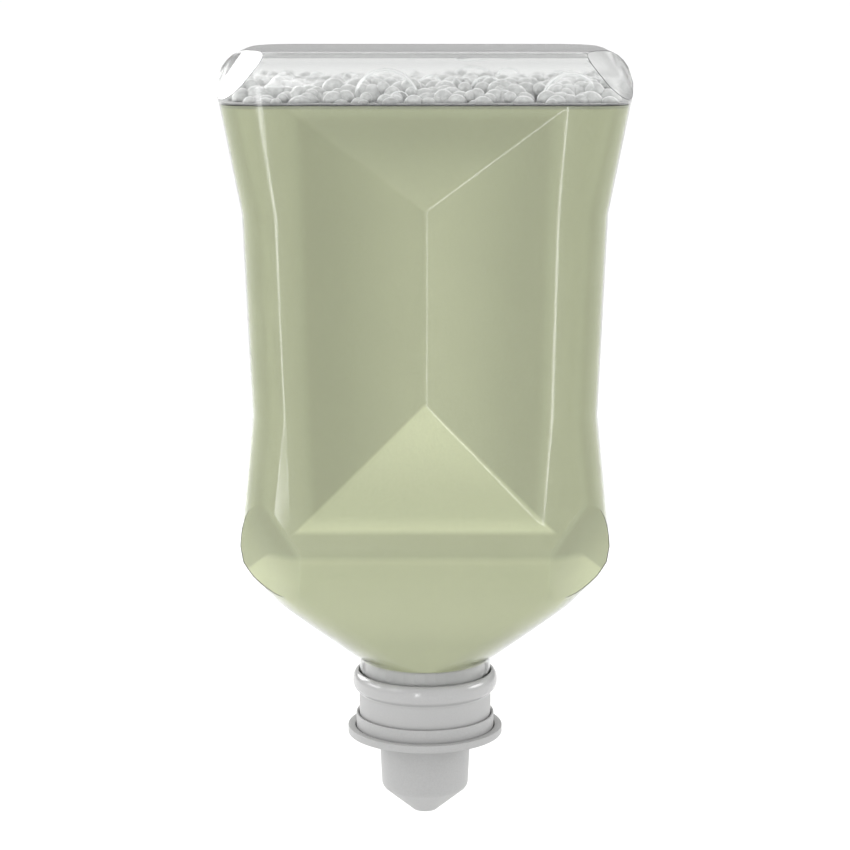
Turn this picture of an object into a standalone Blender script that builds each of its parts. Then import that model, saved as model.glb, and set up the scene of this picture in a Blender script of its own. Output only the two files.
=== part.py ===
"""Hand soap refill pack: a clear, collapsible bottle, neck down, on a foam pump.

Sizes are in metres. Z is up, X runs across the width and the front faces -Y. The origin is
on the axis of the neck, at the seam where the clear neck enters the white collar.
"""

import math

import bmesh
import bpy
import numpy as np
from mathutils import Matrix, Vector

# Fits and travel
GAP = 0.0003                 # clearance between pieces that touch
STROKE = 0.005               # travel of the pump

# Bottle, outside
BASE_HEIGHT = 0.200          # seam to base
FOOT_HEIGHT = 0.0046         # seam to where the shoulders leave the neck
CHIN_HEIGHT = 0.0255         # side shoulder ends, slope up to the side starts
CHIN_HALF_WIDTH = 0.0460
HIP_HEIGHT = 0.040           # that slope ends, the side starts
HIP_HALF_WIDTH = 0.0576
HIP_BAND = 0.007             # straight part of the side above the hip
WAIST_HEIGHT = 0.087
WAIST_HALF_WIDTH = 0.0532
KINK_BELOW_BASE = 0.0475     # the sides flare above this level
KINK_HALF_WIDTH = 0.0557
FLARE_HALF_WIDTH = 0.0633
BASE_SIDE_RADIUS = 0.0100    # round edge from the side to the base
FRONT_FOOT_HEIGHT = 0.047    # front shoulder ends, front face starts
FRONT_HALF_DEPTH = 0.0385
FLARE_DEPTH = 0.001          # how much deeper each face is at the base
BASE_FRONT_RADIUS = 0.004    # round edge from the front to the base
EDGE_RADIUS = 0.011          # upright edges
EDGE_RADIUS_AT_BASE = 0.013
CORNER_STEPS = 7             # facets of each round corner
SHOULDER_LEVELS = 3          # sections between the neck and the chin
ROUND_STEPS = 6              # facets of the edge round the base

# Flat facets that slice the corners
TOP_FACET_DIRECTION = (0.73, 0.34, 0.58)
TOP_FACET_DEPTH = 0.0123     # below the sharp corner
LOW_FACET_DIRECTION = (0.49, 0.81, -0.31)
LOW_FACET_DEPTH = 0.0095

# Fold panel, a shallow hip roof sunk in the front and in the back
PANEL_DEPTH = 0.013          # at the upright crease
PANEL_FOOT_HEIGHT = 0.054
PANEL_FOOT_HALF_WIDTH = 0.0374
CREASE_FOOT_HEIGHT = 0.0905
CREASE_FOOT_HALF_WIDTH = 0.0390
CREASE_BELOW_BASE = 0.050
CREASE_HEAD_HALF_WIDTH = 0.0404
PANEL_BELOW_BASE = 0.014
PANEL_HEAD_HALF_WIDTH = 0.0447
PANEL_OVERCUT = 0.002        # how far the cutter stands out of the face

# Bottle, inside, and what it holds
WALL = 0.0008
NECK_WALL = 0.0013
LIP_OUT = 0.0008             # snap lip round the mouth
LIP_HEIGHT = 0.0010
FILL_BELOW_BASE = 0.016      # soap level
FOAM_BED = 0.0025            # foam between the soap and the domes
BUBBLE_RADII = (0.0062, 0.0048, 0.0075, 0.0055, 0.0085, 0.0042)
BUBBLE_PITCH = 0.0160
BUBBLE_RISE = 0.35           # share of a bubble's radius that its centre stands above the bed
BUBBLE_SEGMENTS = 8
BUBBLE_RINGS = 6

# Collar
COLLAR_MOUTH = 0.0012        # ring that hooks over the snap lip
COLLAR_FOOT = 0.0014         # depth of the bead below the pump's flange
BEAD_WALL = 0.0012
SKIRT_CLEARANCE = 0.0005
SKIRT_WALL = 0.0013
COLLAR_LIP = 0.0007          # ring under the pump cylinder that stops the piston
PISTON_CATCH = 0.0008        # how far that ring reaches in over the cylinder's bore
BEAD_BLEND = 0.0016          # hollow round from the bead to the skirt
BEAD_STEPS = 7

# Gasket
GASKET_THICKNESS = 0.0008
GASKET_WIDTH = 0.0016

# Pump body
CYLINDER_BORE = 0.0184       # radius
CYLINDER_WALL = 0.0012
PUMP_RISE = 0.0040           # seam to the pump body's top
PLATE_THICKNESS = 0.0012
PUMP_FLANGE = 0.0010
LIQUID_BORE = 0.0050         # radius
LIQUID_WALL = 0.0012
INLET_HOLES = 6
INLET_HOLE_RADIUS = 0.0007
INLET_PITCH_RADIUS = 0.0030
WEB_THICKNESS = 0.0008       # stiffening webs between the liquid tube and the cylinder
WEB_HEIGHT = 0.0030
WEBS = 6

# Rubber valves
VALVE_DISC = 0.0005
VALVE_STEM_RADIUS = 0.0007
VALVE_BARB_RADIUS = 0.0014
VALVE_BARB_HEIGHT = 0.0009
INLET_VALVE_RADIUS = 0.0043
OUTLET_VALVE_RADIUS = 0.0029

# Piston stem and liquid seal
STEM_RADIUS = 0.0032
STEM_BORE = 0.0017
STEM_HEAD_RADIUS = 0.0036
STEM_HEAD = 0.0008
STEM_GROOVE_RADIUS = 0.0026
HEAD_CLEARANCE = 0.0005      # head to inlet valve at the end of the stroke
SEAL_HEIGHT = 0.0020
SEAL_LEAD = 0.0003           # liquid tube below the seal's groove at rest
STEM_COLLAR_RADIUS = 0.0044
STEM_COLLAR = 0.0010

# Air piston
PISTON_DISC = 0.0010
PISTON_LIP_HEIGHT = 0.0030
PISTON_LIP_WALL = 0.0007
PISTON_LIP_FLARE = 0.0005
HUB_BORE = 0.0066            # radius
HUB_WALL = 0.0012
HUB_SHOULDER = 0.0014        # step that the drive flange hangs from
HUB_SHOULDER_DROP = 0.0021   # below the disc
HUB_REACH = 0.0024           # below the drive flange
AIR_PORTS = 6
AIR_PORT_RADIUS = 0.0006
AIR_PORT_PITCH_RADIUS = 0.0056
AIR_VALVE_THICKNESS = 0.0004
AIR_VALVE_LAP = 0.0010       # how far the valve covers beyond the ports

# Foam maker
INSERT_FLANGE = 0.0008
INSERT_RISE = 0.0022
SOCKET_DEPTH = 0.0012
SOAP_FLUTES = 4              # flutes beside the outlet valve's stem
SOAP_FLUTE_RADIUS = 0.0004
SOAP_FLUTE_PITCH_RADIUS = 0.0012
MIX_PORTS = 6
MIX_PORT_RADIUS = 0.0006
MIX_PORT_PITCH_RADIUS = 0.0049
SCREEN_THICKNESS = 0.0004
SCREEN_PITCH = 0.0029
SCREEN_THREAD = 0.0008
SLEEVE_LENGTH = 0.0097
SLEEVE_WALL = 0.0012

# Drive flange and guide ring
FLOOR_THICKNESS = 0.0012
RIM_THICKNESS = 0.0024
RIM_RAISE = 0.0007           # underside of the rim above the underside of the floor
RIM_WIDTH = 0.0024
CAP_RECESS = 0.0004          # recess in the floor's underside that the cap's mouth enters
CAP_RECESS_MARGIN = 0.0004
BOSS_WALL = 0.0013
RING_WALL = 0.0007
RING_LAP = 0.0008            # how far the guide ring overlaps the collar's skirt at rest

# Nozzle
NOZZLE_WALL = 0.0011
NOZZLE_BASE_RADIUS = 0.0133
NOZZLE_BASE = 0.0016
NOZZLE_TIP_LENGTH = 0.0051
OUTLET_RADIUS = 0.0045
OUTLET_WALL = 0.0015

# Dust cap
CAP_WALL = 0.0012
CAP_GRIP = 0.0022            # straight part of the mouth
CAP_TAPER = 0.0007           # loss of radius from the mouth to the shoulder
CAP_SHOULDER_RADIUS = 0.0030
CAP_TIP_RADIUS = 0.0046
CAP_TIP_ROUND = 0.0012
CAP_HEADROOM = 0.0045        # nozzle's tip to the inside of the cap
CAP_NOSE = 0.0085            # length of the cone

# Facets of turned pieces
OUTER_STEPS = 36
INNER_STEPS = 20
SMALL_STEPS = 16

# Radii that follow from the sizes above
cylinder_outer = CYLINDER_BORE + CYLINDER_WALL
neck_bore = cylinder_outer + GAP
neck_radius = neck_bore + NECK_WALL
lip_radius = neck_radius + LIP_OUT
bead_hollow = lip_radius + GAP
bead_radius = bead_hollow + BEAD_WALL
skirt_bore = cylinder_outer + SKIRT_CLEARANCE
skirt_radius = skirt_bore + SKIRT_WALL
piston_radius = CYLINDER_BORE - GAP
hub_radius = HUB_BORE + HUB_WALL
nozzle_bore = hub_radius + GAP
nozzle_radius = nozzle_bore + NOZZLE_WALL
ring_bore = skirt_radius + GAP
ring_radius = ring_bore + RING_WALL
rim_bore = ring_radius + GAP
rim_radius = rim_bore + RIM_WIDTH
cap_bore = NOZZLE_BASE_RADIUS + GAP
cap_radius = cap_bore + CAP_WALL
recess_radius = cap_radius + CAP_RECESS_MARGIN

# Levels that follow, from the top down
kink_z = BASE_HEIGHT - KINK_BELOW_BASE
crease_head_z = BASE_HEIGHT - CREASE_BELOW_BASE
panel_head_z = BASE_HEIGHT - PANEL_BELOW_BASE
fill_z = BASE_HEIGHT - FILL_BELOW_BASE
plate_z = PUMP_RISE - PLATE_THICKNESS
lip_z = -COLLAR_MOUTH - GAP
mouth_z = lip_z - LIP_HEIGHT
gasket_z = mouth_z - GAP
pump_flange_z = gasket_z - GASKET_THICKNESS - GAP
collar_ledge_z = pump_flange_z - PUMP_FLANGE - GAP
bead_foot_z = collar_ledge_z - COLLAR_FOOT
inlet_valve_z = plate_z - GAP
head_z = inlet_valve_z - VALVE_DISC - HEAD_CLEARANCE - STROKE
seal_z = head_z - STEM_HEAD - GAP
groove_foot_z = seal_z - SEAL_HEIGHT - GAP
liquid_tube_z = groove_foot_z - SEAL_LEAD
air_valve_z = liquid_tube_z - GAP - STROKE
piston_z = air_valve_z - AIR_VALVE_THICKNESS - GAP
piston_foot_z = piston_z - PISTON_DISC
collar_lip_z = piston_foot_z - GAP
skirt_foot_z = collar_lip_z - COLLAR_LIP
floor_z = skirt_foot_z - STROKE - GAP
floor_foot_z = floor_z - FLOOR_THICKNESS
rim_foot_z = floor_foot_z + RIM_RAISE
rim_z = rim_foot_z + RIM_THICKNESS
ring_z = skirt_foot_z + RING_LAP
ring_foot_z = floor_z + GAP
hub_shoulder_z = piston_foot_z - HUB_SHOULDER_DROP
hub_foot_z = floor_foot_z - HUB_REACH
insert_z = hub_foot_z - GAP
insert_foot_z = insert_z - INSERT_FLANGE
socket_z = insert_z + INSERT_RISE - SOCKET_DEPTH
valve_pocket_z = insert_foot_z + VALVE_DISC + GAP
upper_screen_z = insert_foot_z - GAP
sleeve_z = upper_screen_z - SCREEN_THICKNESS - GAP
lower_screen_z = sleeve_z - SLEEVE_LENGTH - GAP
nozzle_ledge_z = lower_screen_z - SCREEN_THICKNESS - GAP
recess_z = floor_foot_z + CAP_RECESS
nozzle_z = recess_z - GAP
nozzle_tip_z = nozzle_ledge_z - NOZZLE_TIP_LENGTH
cap_floor_z = nozzle_tip_z - CAP_HEADROOM
cap_tip_z = cap_floor_z - CAP_WALL


def make_collection(name):
    """A collection linked to the scene."""
    collection = bpy.data.collections.new(name)
    bpy.context.scene.collection.children.link(collection)
    return collection


def make_material(name, colour, roughness, transmission=0.0, subsurface=0.0):
    """A plastic, rubber or liquid finish."""
    material = bpy.data.materials.new(name)
    material.use_nodes = True
    shader = material.node_tree.nodes["Principled BSDF"]
    shader.inputs["Base Color"].default_value = (*colour, 1.0)
    shader.inputs["Roughness"].default_value = roughness
    shader.inputs["Metallic"].default_value = 0.0
    shader.inputs["Transmission Weight"].default_value = transmission
    shader.inputs["Subsurface Weight"].default_value = subsurface
    return material


def add_mesh_object(name, bm, collection, material=None):
    """Turn a bmesh into an object of the collection."""
    mesh = bpy.data.meshes.new(name)
    bm.to_mesh(mesh)
    bm.free()
    piece = bpy.data.objects.new(name, mesh)
    collection.objects.link(piece)
    if material is not None:
        mesh.materials.append(material)
    return piece


def mark_cutter(piece):
    """A cutter is drawn as wire and never rendered."""
    piece.display_type = "WIRE"
    piece.hide_render = True
    return piece


def add_boolean(piece, cutter, operation="DIFFERENCE"):
    """Cut, join or trim a piece with another object."""
    modifier = piece.modifiers.new(operation.lower(), "BOOLEAN")
    modifier.operation = operation
    modifier.object = cutter
    modifier.solver = "EXACT"


def turned(name, outline, steps, collection, material=None, on_axis=False):
    """Turn an outline of (radius, height) points about Z.

    The points run down the outside first. A closed outline makes a ring. One whose two ends
    lie on the axis makes a full body.
    """
    bm = bmesh.new()
    verts = [bm.verts.new((radius, 0.0, height)) for radius, height in outline]
    for first, second in zip(verts, verts[1:]):
        bm.edges.new((first, second))
    if not on_axis:
        bm.edges.new((verts[-1], verts[0]))
    piece = add_mesh_object(name, bm, collection, material)
    screw = piece.modifiers.new("turn", "SCREW")
    screw.steps = steps
    screw.render_steps = steps
    screw.use_merge_vertices = True
    screw.merge_threshold = 0.00001
    screw.use_smooth_shade = True
    return piece


def ring_of_holes(name, count, radius, pitch_radius, high, low, steps=10):
    """Upright round cutters, evenly spaced on a circle."""
    bm = bmesh.new()
    for index in range(count):
        angle = math.tau * index / count
        place = Vector((pitch_radius * math.cos(angle), pitch_radius * math.sin(angle), (high + low) / 2))
        bmesh.ops.create_cone(
            bm, cap_ends=True, segments=steps, radius1=radius, radius2=radius,
            depth=high - low, matrix=Matrix.Translation(place))
    return mark_cutter(add_mesh_object(name, bm, cutters))


def block(bm, size, place, turn=0.0):
    """A box of the given size about a place, turned about Z."""
    spin = Matrix.Rotation(turn, 4, "Z")
    matrix = spin @ Matrix.Translation(place) @ Matrix.Diagonal((*size, 1.0))
    bmesh.ops.create_cube(bm, size=1.0, matrix=matrix)


def arc(centre, radius, start, end, steps):
    """Points of an arc in the outline's plane, in degrees from the radius axis."""
    angles = [math.radians(start + (end - start) * step / steps) for step in range(steps + 1)]
    return [(centre[0] + radius * math.cos(a), centre[1] + radius * math.sin(a)) for a in angles]


def offset_profile(points, inset):
    """Move a bottom-to-top outline inward by the inset, with mitred corners."""
    moved = []
    for low, high in zip(points, points[1:]):
        along = Vector((high[0] - low[0], high[1] - low[1])).normalized()
        inward = Vector((-along.y, along.x)) * inset
        moved.append((Vector(low) + inward, along))
    result = [moved[0][0]]
    for (place, along), (next_place, next_along) in zip(moved, moved[1:]):
        turn = along.cross(next_along)
        if abs(turn) < 1e-6:
            result.append(next_place)
        else:
            reach = (next_place - place).cross(next_along) / turn
            result.append(place + along * reach)
    return [(point.x, point.y) for point in result]


def neck_and_body(body, inset, radius):
    """The body's outline moved inward, starting where its shoulder meets a neck's radius."""
    inner = offset_profile(body, inset)
    slope = (inner[1][1] - inner[0][1]) / (inner[1][0] - inner[0][0])
    joint_z = inner[0][1] + slope * (radius - inner[0][0])
    return [(radius, joint_z)] + inner[1:]


def side_profile():
    """Half width of the bottle against height, from the neck to the base's centre."""
    flare_z = BASE_HEIGHT - BASE_SIDE_RADIUS
    points = [(neck_radius, FOOT_HEIGHT), (CHIN_HALF_WIDTH, CHIN_HEIGHT), (HIP_HALF_WIDTH, HIP_HEIGHT)]
    points += [(HIP_HALF_WIDTH, HIP_HEIGHT + HIP_BAND), (WAIST_HALF_WIDTH, WAIST_HEIGHT)]
    points += [(KINK_HALF_WIDTH, kink_z)]
    points += arc((FLARE_HALF_WIDTH - BASE_SIDE_RADIUS, flare_z), BASE_SIDE_RADIUS, 0, 90, ROUND_STEPS)
    return points + [(0.0, BASE_HEIGHT)]


def front_profile():
    """Half depth of the bottle against height, from the neck to the base's centre."""
    half_depth = FRONT_HALF_DEPTH + FLARE_DEPTH
    flare_z = BASE_HEIGHT - BASE_FRONT_RADIUS
    points = [(neck_radius, FOOT_HEIGHT), (FRONT_HALF_DEPTH, FRONT_FOOT_HEIGHT), (FRONT_HALF_DEPTH, kink_z)]
    points += arc((half_depth - BASE_FRONT_RADIUS, flare_z), BASE_FRONT_RADIUS, 0, 90, ROUND_STEPS)
    return points + [(0.0, BASE_HEIGHT)]


def edge_radius_at(z):
    """Radius of the upright edges: a full circle at the neck, tighter up the body."""
    levels = (FOOT_HEIGHT, CHIN_HEIGHT, FRONT_FOOT_HEIGHT, kink_z, BASE_HEIGHT)
    middle = (neck_radius + EDGE_RADIUS) / 2
    radii = (neck_radius, middle, EDGE_RADIUS, EDGE_RADIUS, EDGE_RADIUS_AT_BASE)
    return float(np.interp(z, levels, radii))


def size_at(profile, z):
    """Half size of an outline at a height, with the neck's radius below it."""
    sizes = [point[0] for point in profile[:-1]]
    heights = [point[1] for point in profile[:-1]]
    return float(np.interp(z, heights, sizes))


def add_ring(bm, half_width, half_depth, radius, z):
    """One level section of the bottle: a rectangle with round corners."""
    ring = []
    for quarter, (side_x, side_y) in enumerate(((1, 1), (-1, 1), (-1, -1), (1, -1))):
        for step in range(CORNER_STEPS + 1):
            angle = math.pi / 2 * (quarter + step / CORNER_STEPS)
            x = side_x * (half_width - radius) + radius * math.cos(angle)
            y = side_y * (half_depth - radius) + radius * math.sin(angle)
            ring.append(bm.verts.new((x, y, z)))
    return ring


def slice_corner(bm, corner, direction, depth):
    """Cut a flat facet across a corner and close it."""
    normal = Vector(direction).normalized()
    place = Vector(corner) - normal * depth
    geometry = bm.verts[:] + bm.edges[:] + bm.faces[:]
    cut = bmesh.ops.bisect_plane(
        bm, geom=geometry, dist=1e-7, plane_co=place, plane_no=normal, clear_outer=True)
    rim = [item for item in cut["geom_cut"] if isinstance(item, bmesh.types.BMEdge)]
    bmesh.ops.edgenet_fill(bm, edges=rim)


def bottle_form(name, inset, radius, low_z, collection, material=None):
    """The bottle's lofted form, moved inward by the inset, on a neck of the given radius."""
    side = neck_and_body(side_profile(), inset, radius)
    front = neck_and_body(front_profile(), inset, radius)
    shoulder = np.linspace(FOOT_HEIGHT, CHIN_HEIGHT, SHOULDER_LEVELS + 2)[1:-1]
    bends = [point[1] for point in side + front] + list(shoulder)
    levels = sorted({round(z, 6) for z in bends if z > low_z} | {low_z})
    bm = bmesh.new()
    rings = []
    for z in levels:
        half_width = size_at(side, z)
        half_depth = size_at(front, z)
        corner = min(edge_radius_at(z) - inset, half_width, half_depth)
        rings.append(add_ring(bm, half_width, half_depth, corner, z))
    for low, high in zip(rings, rings[1:]):
        for index in range(len(low)):
            after = (index + 1) % len(low)
            bm.faces.new((low[index], low[after], high[after], high[index]))
    bm.faces.new(reversed(rings[0]))
    bm.faces.new(rings[-1])
    bmesh.ops.remove_doubles(bm, verts=bm.verts, dist=1e-6)
    for side_x in (-1, 1):
        for side_y in (-1, 1):
            x, y, z = TOP_FACET_DIRECTION
            corner = (side_x * FLARE_HALF_WIDTH, side_y * (FRONT_HALF_DEPTH + FLARE_DEPTH), BASE_HEIGHT)
            slice_corner(bm, corner, (side_x * x, side_y * y, z), TOP_FACET_DEPTH + inset)
            x, y, z = LOW_FACET_DIRECTION
            corner = (side_x * HIP_HALF_WIDTH, side_y * FRONT_HALF_DEPTH, FRONT_FOOT_HEIGHT)
            slice_corner(bm, corner, (side_x * x, side_y * y, z), LOW_FACET_DEPTH + inset)
    bmesh.ops.recalc_face_normals(bm, faces=bm.faces)
    form = add_mesh_object(name, bm, collection, material)
    add_boolean(form, panel_cutter(name + "_panels", inset))
    return form


def panel_cutter(name, inset):
    """Two hip roofs that sink the fold panels, each standing a little out of its face.

    Each starts as a box with two levels across it. The box's inner side is drawn together
    into the upright crease, and its outer side is set to the panel's rim.
    """
    growth = (PANEL_DEPTH + PANEL_OVERCUT) / PANEL_DEPTH
    rim = (
        (PANEL_FOOT_HEIGHT, CREASE_FOOT_HEIGHT, PANEL_FOOT_HALF_WIDTH),
        (CREASE_FOOT_HEIGHT, CREASE_FOOT_HEIGHT, CREASE_FOOT_HALF_WIDTH),
        (crease_head_z, crease_head_z, CREASE_HEAD_HALF_WIDTH),
        (panel_head_z, crease_head_z, PANEL_HEAD_HALF_WIDTH))
    bm = bmesh.new()
    for facing in (-1, 1):
        box = bmesh.ops.create_cube(bm, size=1.0)["verts"]
        for level in (-1 / 6, 1 / 6):
            faces = {face for vert in box for face in vert.link_faces}
            edges = {edge for vert in box for edge in vert.link_edges}
            cut = bmesh.ops.bisect_plane(
                bm, geom=list(box) + list(edges) + list(faces),
                plane_co=(0.0, 0.0, level), plane_no=(0.0, 0.0, 1.0))
            box = list(box) + [item for item in cut["geom_cut"] if isinstance(item, bmesh.types.BMVert)]
        for vert in box:
            rim_z, crease_z, half_width = rim[round((vert.co.z + 0.5) * 3)]
            outer_side = vert.co.y < 0
            spread = growth if outer_side else 0.0
            face_y = FRONT_HALF_DEPTH - inset - PANEL_DEPTH * (1 - spread)
            x = math.copysign(half_width * spread, vert.co.x)
            z = crease_z + (rim_z - crease_z) * spread
            vert.co = (x * -facing, facing * face_y, z)
    bmesh.ops.remove_doubles(bm, verts=bm.verts, dist=1e-6)
    bmesh.ops.recalc_face_normals(bm, faces=bm.faces)
    return mark_cutter(add_mesh_object(name, bm, cutters))


def make_bottle():
    """Clear blown bottle: one thin wall, open at the neck, with a snap lip round the mouth."""
    bottle = bottle_form("bottle", 0.0, neck_radius, mouth_z, parts, clear_plastic)
    lip = turned("bottle_lip", [
        (lip_radius, lip_z), (lip_radius, mouth_z),
        (neck_radius - NECK_WALL / 2, mouth_z), (neck_radius - NECK_WALL / 2, lip_z + LIP_OUT / 2),
    ], OUTER_STEPS, cutters)
    mark_cutter(lip)
    cavity = mark_cutter(bottle_form("bottle_cavity", WALL, neck_bore, mouth_z - NECK_WALL, cutters))
    add_boolean(bottle, lip, "UNION")
    add_boolean(bottle, cavity)
    return bottle


def make_soap():
    """Soap, from the pump's top up to its level line."""
    soap = bottle_form("soap_fill", WALL + GAP, neck_bore - GAP, PUMP_RISE + GAP, parts, soap_green)
    bm = bmesh.new()
    air_height = BASE_HEIGHT - fill_z + WALL
    block(bm, (2.2 * FLARE_HALF_WIDTH, 2.6 * FRONT_HALF_DEPTH, air_height), (0, 0, fill_z + air_height / 2))
    add_boolean(soap, mark_cutter(add_mesh_object("air_space", bm, cutters)))
    pocket_z = PUMP_RISE + VALVE_BARB_HEIGHT + 2 * GAP
    pocket_radius = VALVE_BARB_RADIUS + GAP
    add_boolean(soap, mark_cutter(turned("valve_pocket", [
        (0.0, pocket_z), (pocket_radius, pocket_z), (pocket_radius, PUMP_RISE - GAP), (0.0, PUMP_RISE - GAP),
    ], SMALL_STEPS, cutters, on_axis=True)))
    return soap


def make_foam():
    """Foam on the soap: a bed of fine bubbles with larger domes standing out of it."""
    bed_z = fill_z + GAP
    foam = bottle_form("foam_layer", WALL + GAP, neck_bore - GAP, PUMP_RISE + GAP, parts, foam_white)
    bm = bmesh.new()
    block(bm, (2.2 * FLARE_HALF_WIDTH, 2.6 * FRONT_HALF_DEPTH, FOAM_BED), (0, 0, bed_z + FOAM_BED / 2))
    mass = mark_cutter(add_mesh_object("foam_mass", bm, cutters))
    bm = bmesh.new()
    columns = int(2 * FLARE_HALF_WIDTH / BUBBLE_PITCH)
    rows = int(2 * FRONT_HALF_DEPTH / BUBBLE_PITCH)
    for row in range(rows):
        for column in range(columns):
            number = row * columns + column
            radius = BUBBLE_RADII[(number * 5 + row) % len(BUBBLE_RADII)]
            shift = 0.5 * (row % 2)
            x = (column - (columns - 1) / 2 + shift - 0.25) * BUBBLE_PITCH
            y = (row - (rows - 1) / 2) * BUBBLE_PITCH
            place = Vector((x, y, bed_z + FOAM_BED + radius * BUBBLE_RISE - radius / 2))
            turn = Matrix.Rotation(number, 4, "Z")
            bmesh.ops.create_uvsphere(
                bm, u_segments=BUBBLE_SEGMENTS, v_segments=BUBBLE_RINGS, radius=radius,
                matrix=Matrix.Translation(place) @ turn)
    bubbles = mark_cutter(add_mesh_object("foam_bubbles", bm, cutters))
    add_boolean(mass, bubbles, "UNION")
    mass.modifiers[-1].use_self = True
    below = bmesh.new()
    depth = bed_z - PUMP_RISE
    block(below, (2.2 * FLARE_HALF_WIDTH, 2.6 * FRONT_HALF_DEPTH, depth), (0, 0, bed_z - depth / 2))
    add_boolean(mass, mark_cutter(add_mesh_object("soap_space", below, cutters)))
    add_boolean(foam, mass, "INTERSECT")
    return foam


def make_collar():
    """White collar: a hollow bead snapped over the neck's lip, and a skirt round the pump."""
    mouth = neck_radius + GAP
    bead_centre_z = bead_foot_z / 2
    bead_out = bead_radius - skirt_radius
    outline = []
    for step in range(BEAD_STEPS + 1):
        angle = math.radians(12 + (140 - 12) * step / BEAD_STEPS)
        outline.append((skirt_radius + bead_out * math.sin(angle), bead_centre_z * (1 - math.cos(angle))))
    blend_start = outline[-1]
    blend_end = (skirt_radius, bead_foot_z - BEAD_BLEND)
    bend = (skirt_radius, bead_foot_z)
    for step in range(1, 5):
        t = step / 4
        radius = (1 - t) ** 2 * blend_start[0] + 2 * t * (1 - t) * bend[0] + t ** 2 * blend_end[0]
        height = (1 - t) ** 2 * blend_start[1] + 2 * t * (1 - t) * bend[1] + t ** 2 * blend_end[1]
        outline.append((radius, height))
    catch = CYLINDER_BORE - PISTON_CATCH
    outline += [(skirt_radius, skirt_foot_z), (catch, skirt_foot_z), (catch, collar_lip_z)]
    outline += [(skirt_bore, collar_lip_z), (skirt_bore, collar_ledge_z), (bead_hollow, collar_ledge_z)]
    outline += [(bead_hollow, -COLLAR_MOUTH), (mouth, -COLLAR_MOUTH), (mouth, outline[0][1])]
    return turned("collar", outline, OUTER_STEPS, parts, white_plastic)


def make_gasket():
    """Flat seal between the neck's end and the pump's flange."""
    return turned("neck_gasket", [
        (lip_radius, gasket_z), (lip_radius, gasket_z - GASKET_THICKNESS),
        (lip_radius - GASKET_WIDTH, gasket_z - GASKET_THICKNESS), (lip_radius - GASKET_WIDTH, gasket_z),
    ], OUTER_STEPS, parts, soft_seal)


def make_pump_body():
    """Pump body: air cylinder, liquid tube, top plate with inlet holes, and a flange."""
    pump = turned("pump_body", [
        (0.0, PUMP_RISE), (cylinder_outer - GAP, PUMP_RISE), (cylinder_outer, PUMP_RISE - GAP),
        (cylinder_outer, pump_flange_z), (lip_radius, pump_flange_z),
        (lip_radius, pump_flange_z - PUMP_FLANGE), (cylinder_outer, pump_flange_z - PUMP_FLANGE),
        (cylinder_outer, piston_foot_z), (CYLINDER_BORE, piston_foot_z), (CYLINDER_BORE, plate_z),
        (LIQUID_BORE + LIQUID_WALL, plate_z), (LIQUID_BORE + LIQUID_WALL, liquid_tube_z),
        (LIQUID_BORE, liquid_tube_z), (LIQUID_BORE, plate_z), (0.0, plate_z),
    ], OUTER_STEPS, parts, natural_plastic, on_axis=True)
    bm = bmesh.new()
    tube = LIQUID_BORE + LIQUID_WALL
    length = CYLINDER_BORE - tube + LIQUID_WALL
    for index in range(WEBS):
        place = (tube - LIQUID_WALL / 2 + length / 2, 0, plate_z - WEB_HEIGHT / 2 + PLATE_THICKNESS / 4)
        size = (length, WEB_THICKNESS, WEB_HEIGHT + PLATE_THICKNESS / 2)
        block(bm, size, place, math.tau * (index + 0.5) / WEBS)
    add_boolean(pump, mark_cutter(add_mesh_object("pump_webs", bm, cutters)), "UNION")
    high = PUMP_RISE + GAP
    low = plate_z - GAP
    holes = ring_of_holes("inlet_holes", INLET_HOLES, INLET_HOLE_RADIUS, INLET_PITCH_RADIUS, high, low)
    add_boolean(pump, holes)
    stem_hole = ring_of_holes("valve_hole", 1, VALVE_STEM_RADIUS + GAP, 0.0, high, low)
    add_boolean(pump, stem_hole)
    return pump


def rubber_valve(name, radius, seat_z, plate, barb_radius, barb):
    """Umbrella valve: a disc under a plate, a stem through it and a barb that holds it."""
    plate_top = seat_z + plate
    return turned(name, [
        (0.0, plate_top + barb), (barb_radius * 0.6, plate_top + barb), (barb_radius, plate_top),
        (VALVE_STEM_RADIUS, plate_top), (VALVE_STEM_RADIUS, seat_z), (radius, seat_z),
        (radius, seat_z - VALVE_DISC / 2), (radius * 0.5, seat_z - VALVE_DISC), (0.0, seat_z - VALVE_DISC),
    ], SMALL_STEPS, parts, soft_seal, on_axis=True)


def make_inlet_valve():
    """Rubber valve under the top plate that lets soap down into the liquid tube."""
    plate = PLATE_THICKNESS + 2 * GAP
    return rubber_valve(
        "inlet_valve", INLET_VALVE_RADIUS, inlet_valve_z, plate, VALVE_BARB_RADIUS, VALVE_BARB_HEIGHT)


def make_piston_stem():
    """Hollow stem: a grooved head for the seal, a collar on the air piston and a long shank."""
    stem_foot_z = socket_z + GAP
    collar_foot_z = piston_z + GAP
    return turned("piston_stem", [
        (STEM_HEAD_RADIUS, head_z), (STEM_HEAD_RADIUS, head_z - STEM_HEAD),
        (STEM_GROOVE_RADIUS, head_z - STEM_HEAD), (STEM_GROOVE_RADIUS, groove_foot_z),
        (STEM_HEAD_RADIUS, groove_foot_z), (STEM_HEAD_RADIUS, groove_foot_z - STEM_HEAD),
        (STEM_RADIUS, groove_foot_z - STEM_HEAD), (STEM_RADIUS, collar_foot_z + STEM_COLLAR),
        (STEM_COLLAR_RADIUS, collar_foot_z + STEM_COLLAR), (STEM_COLLAR_RADIUS, collar_foot_z),
        (STEM_RADIUS, collar_foot_z), (STEM_RADIUS, stem_foot_z), (STEM_BORE, stem_foot_z),
        (STEM_BORE, head_z),
    ], INNER_STEPS, parts, natural_plastic)


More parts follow.
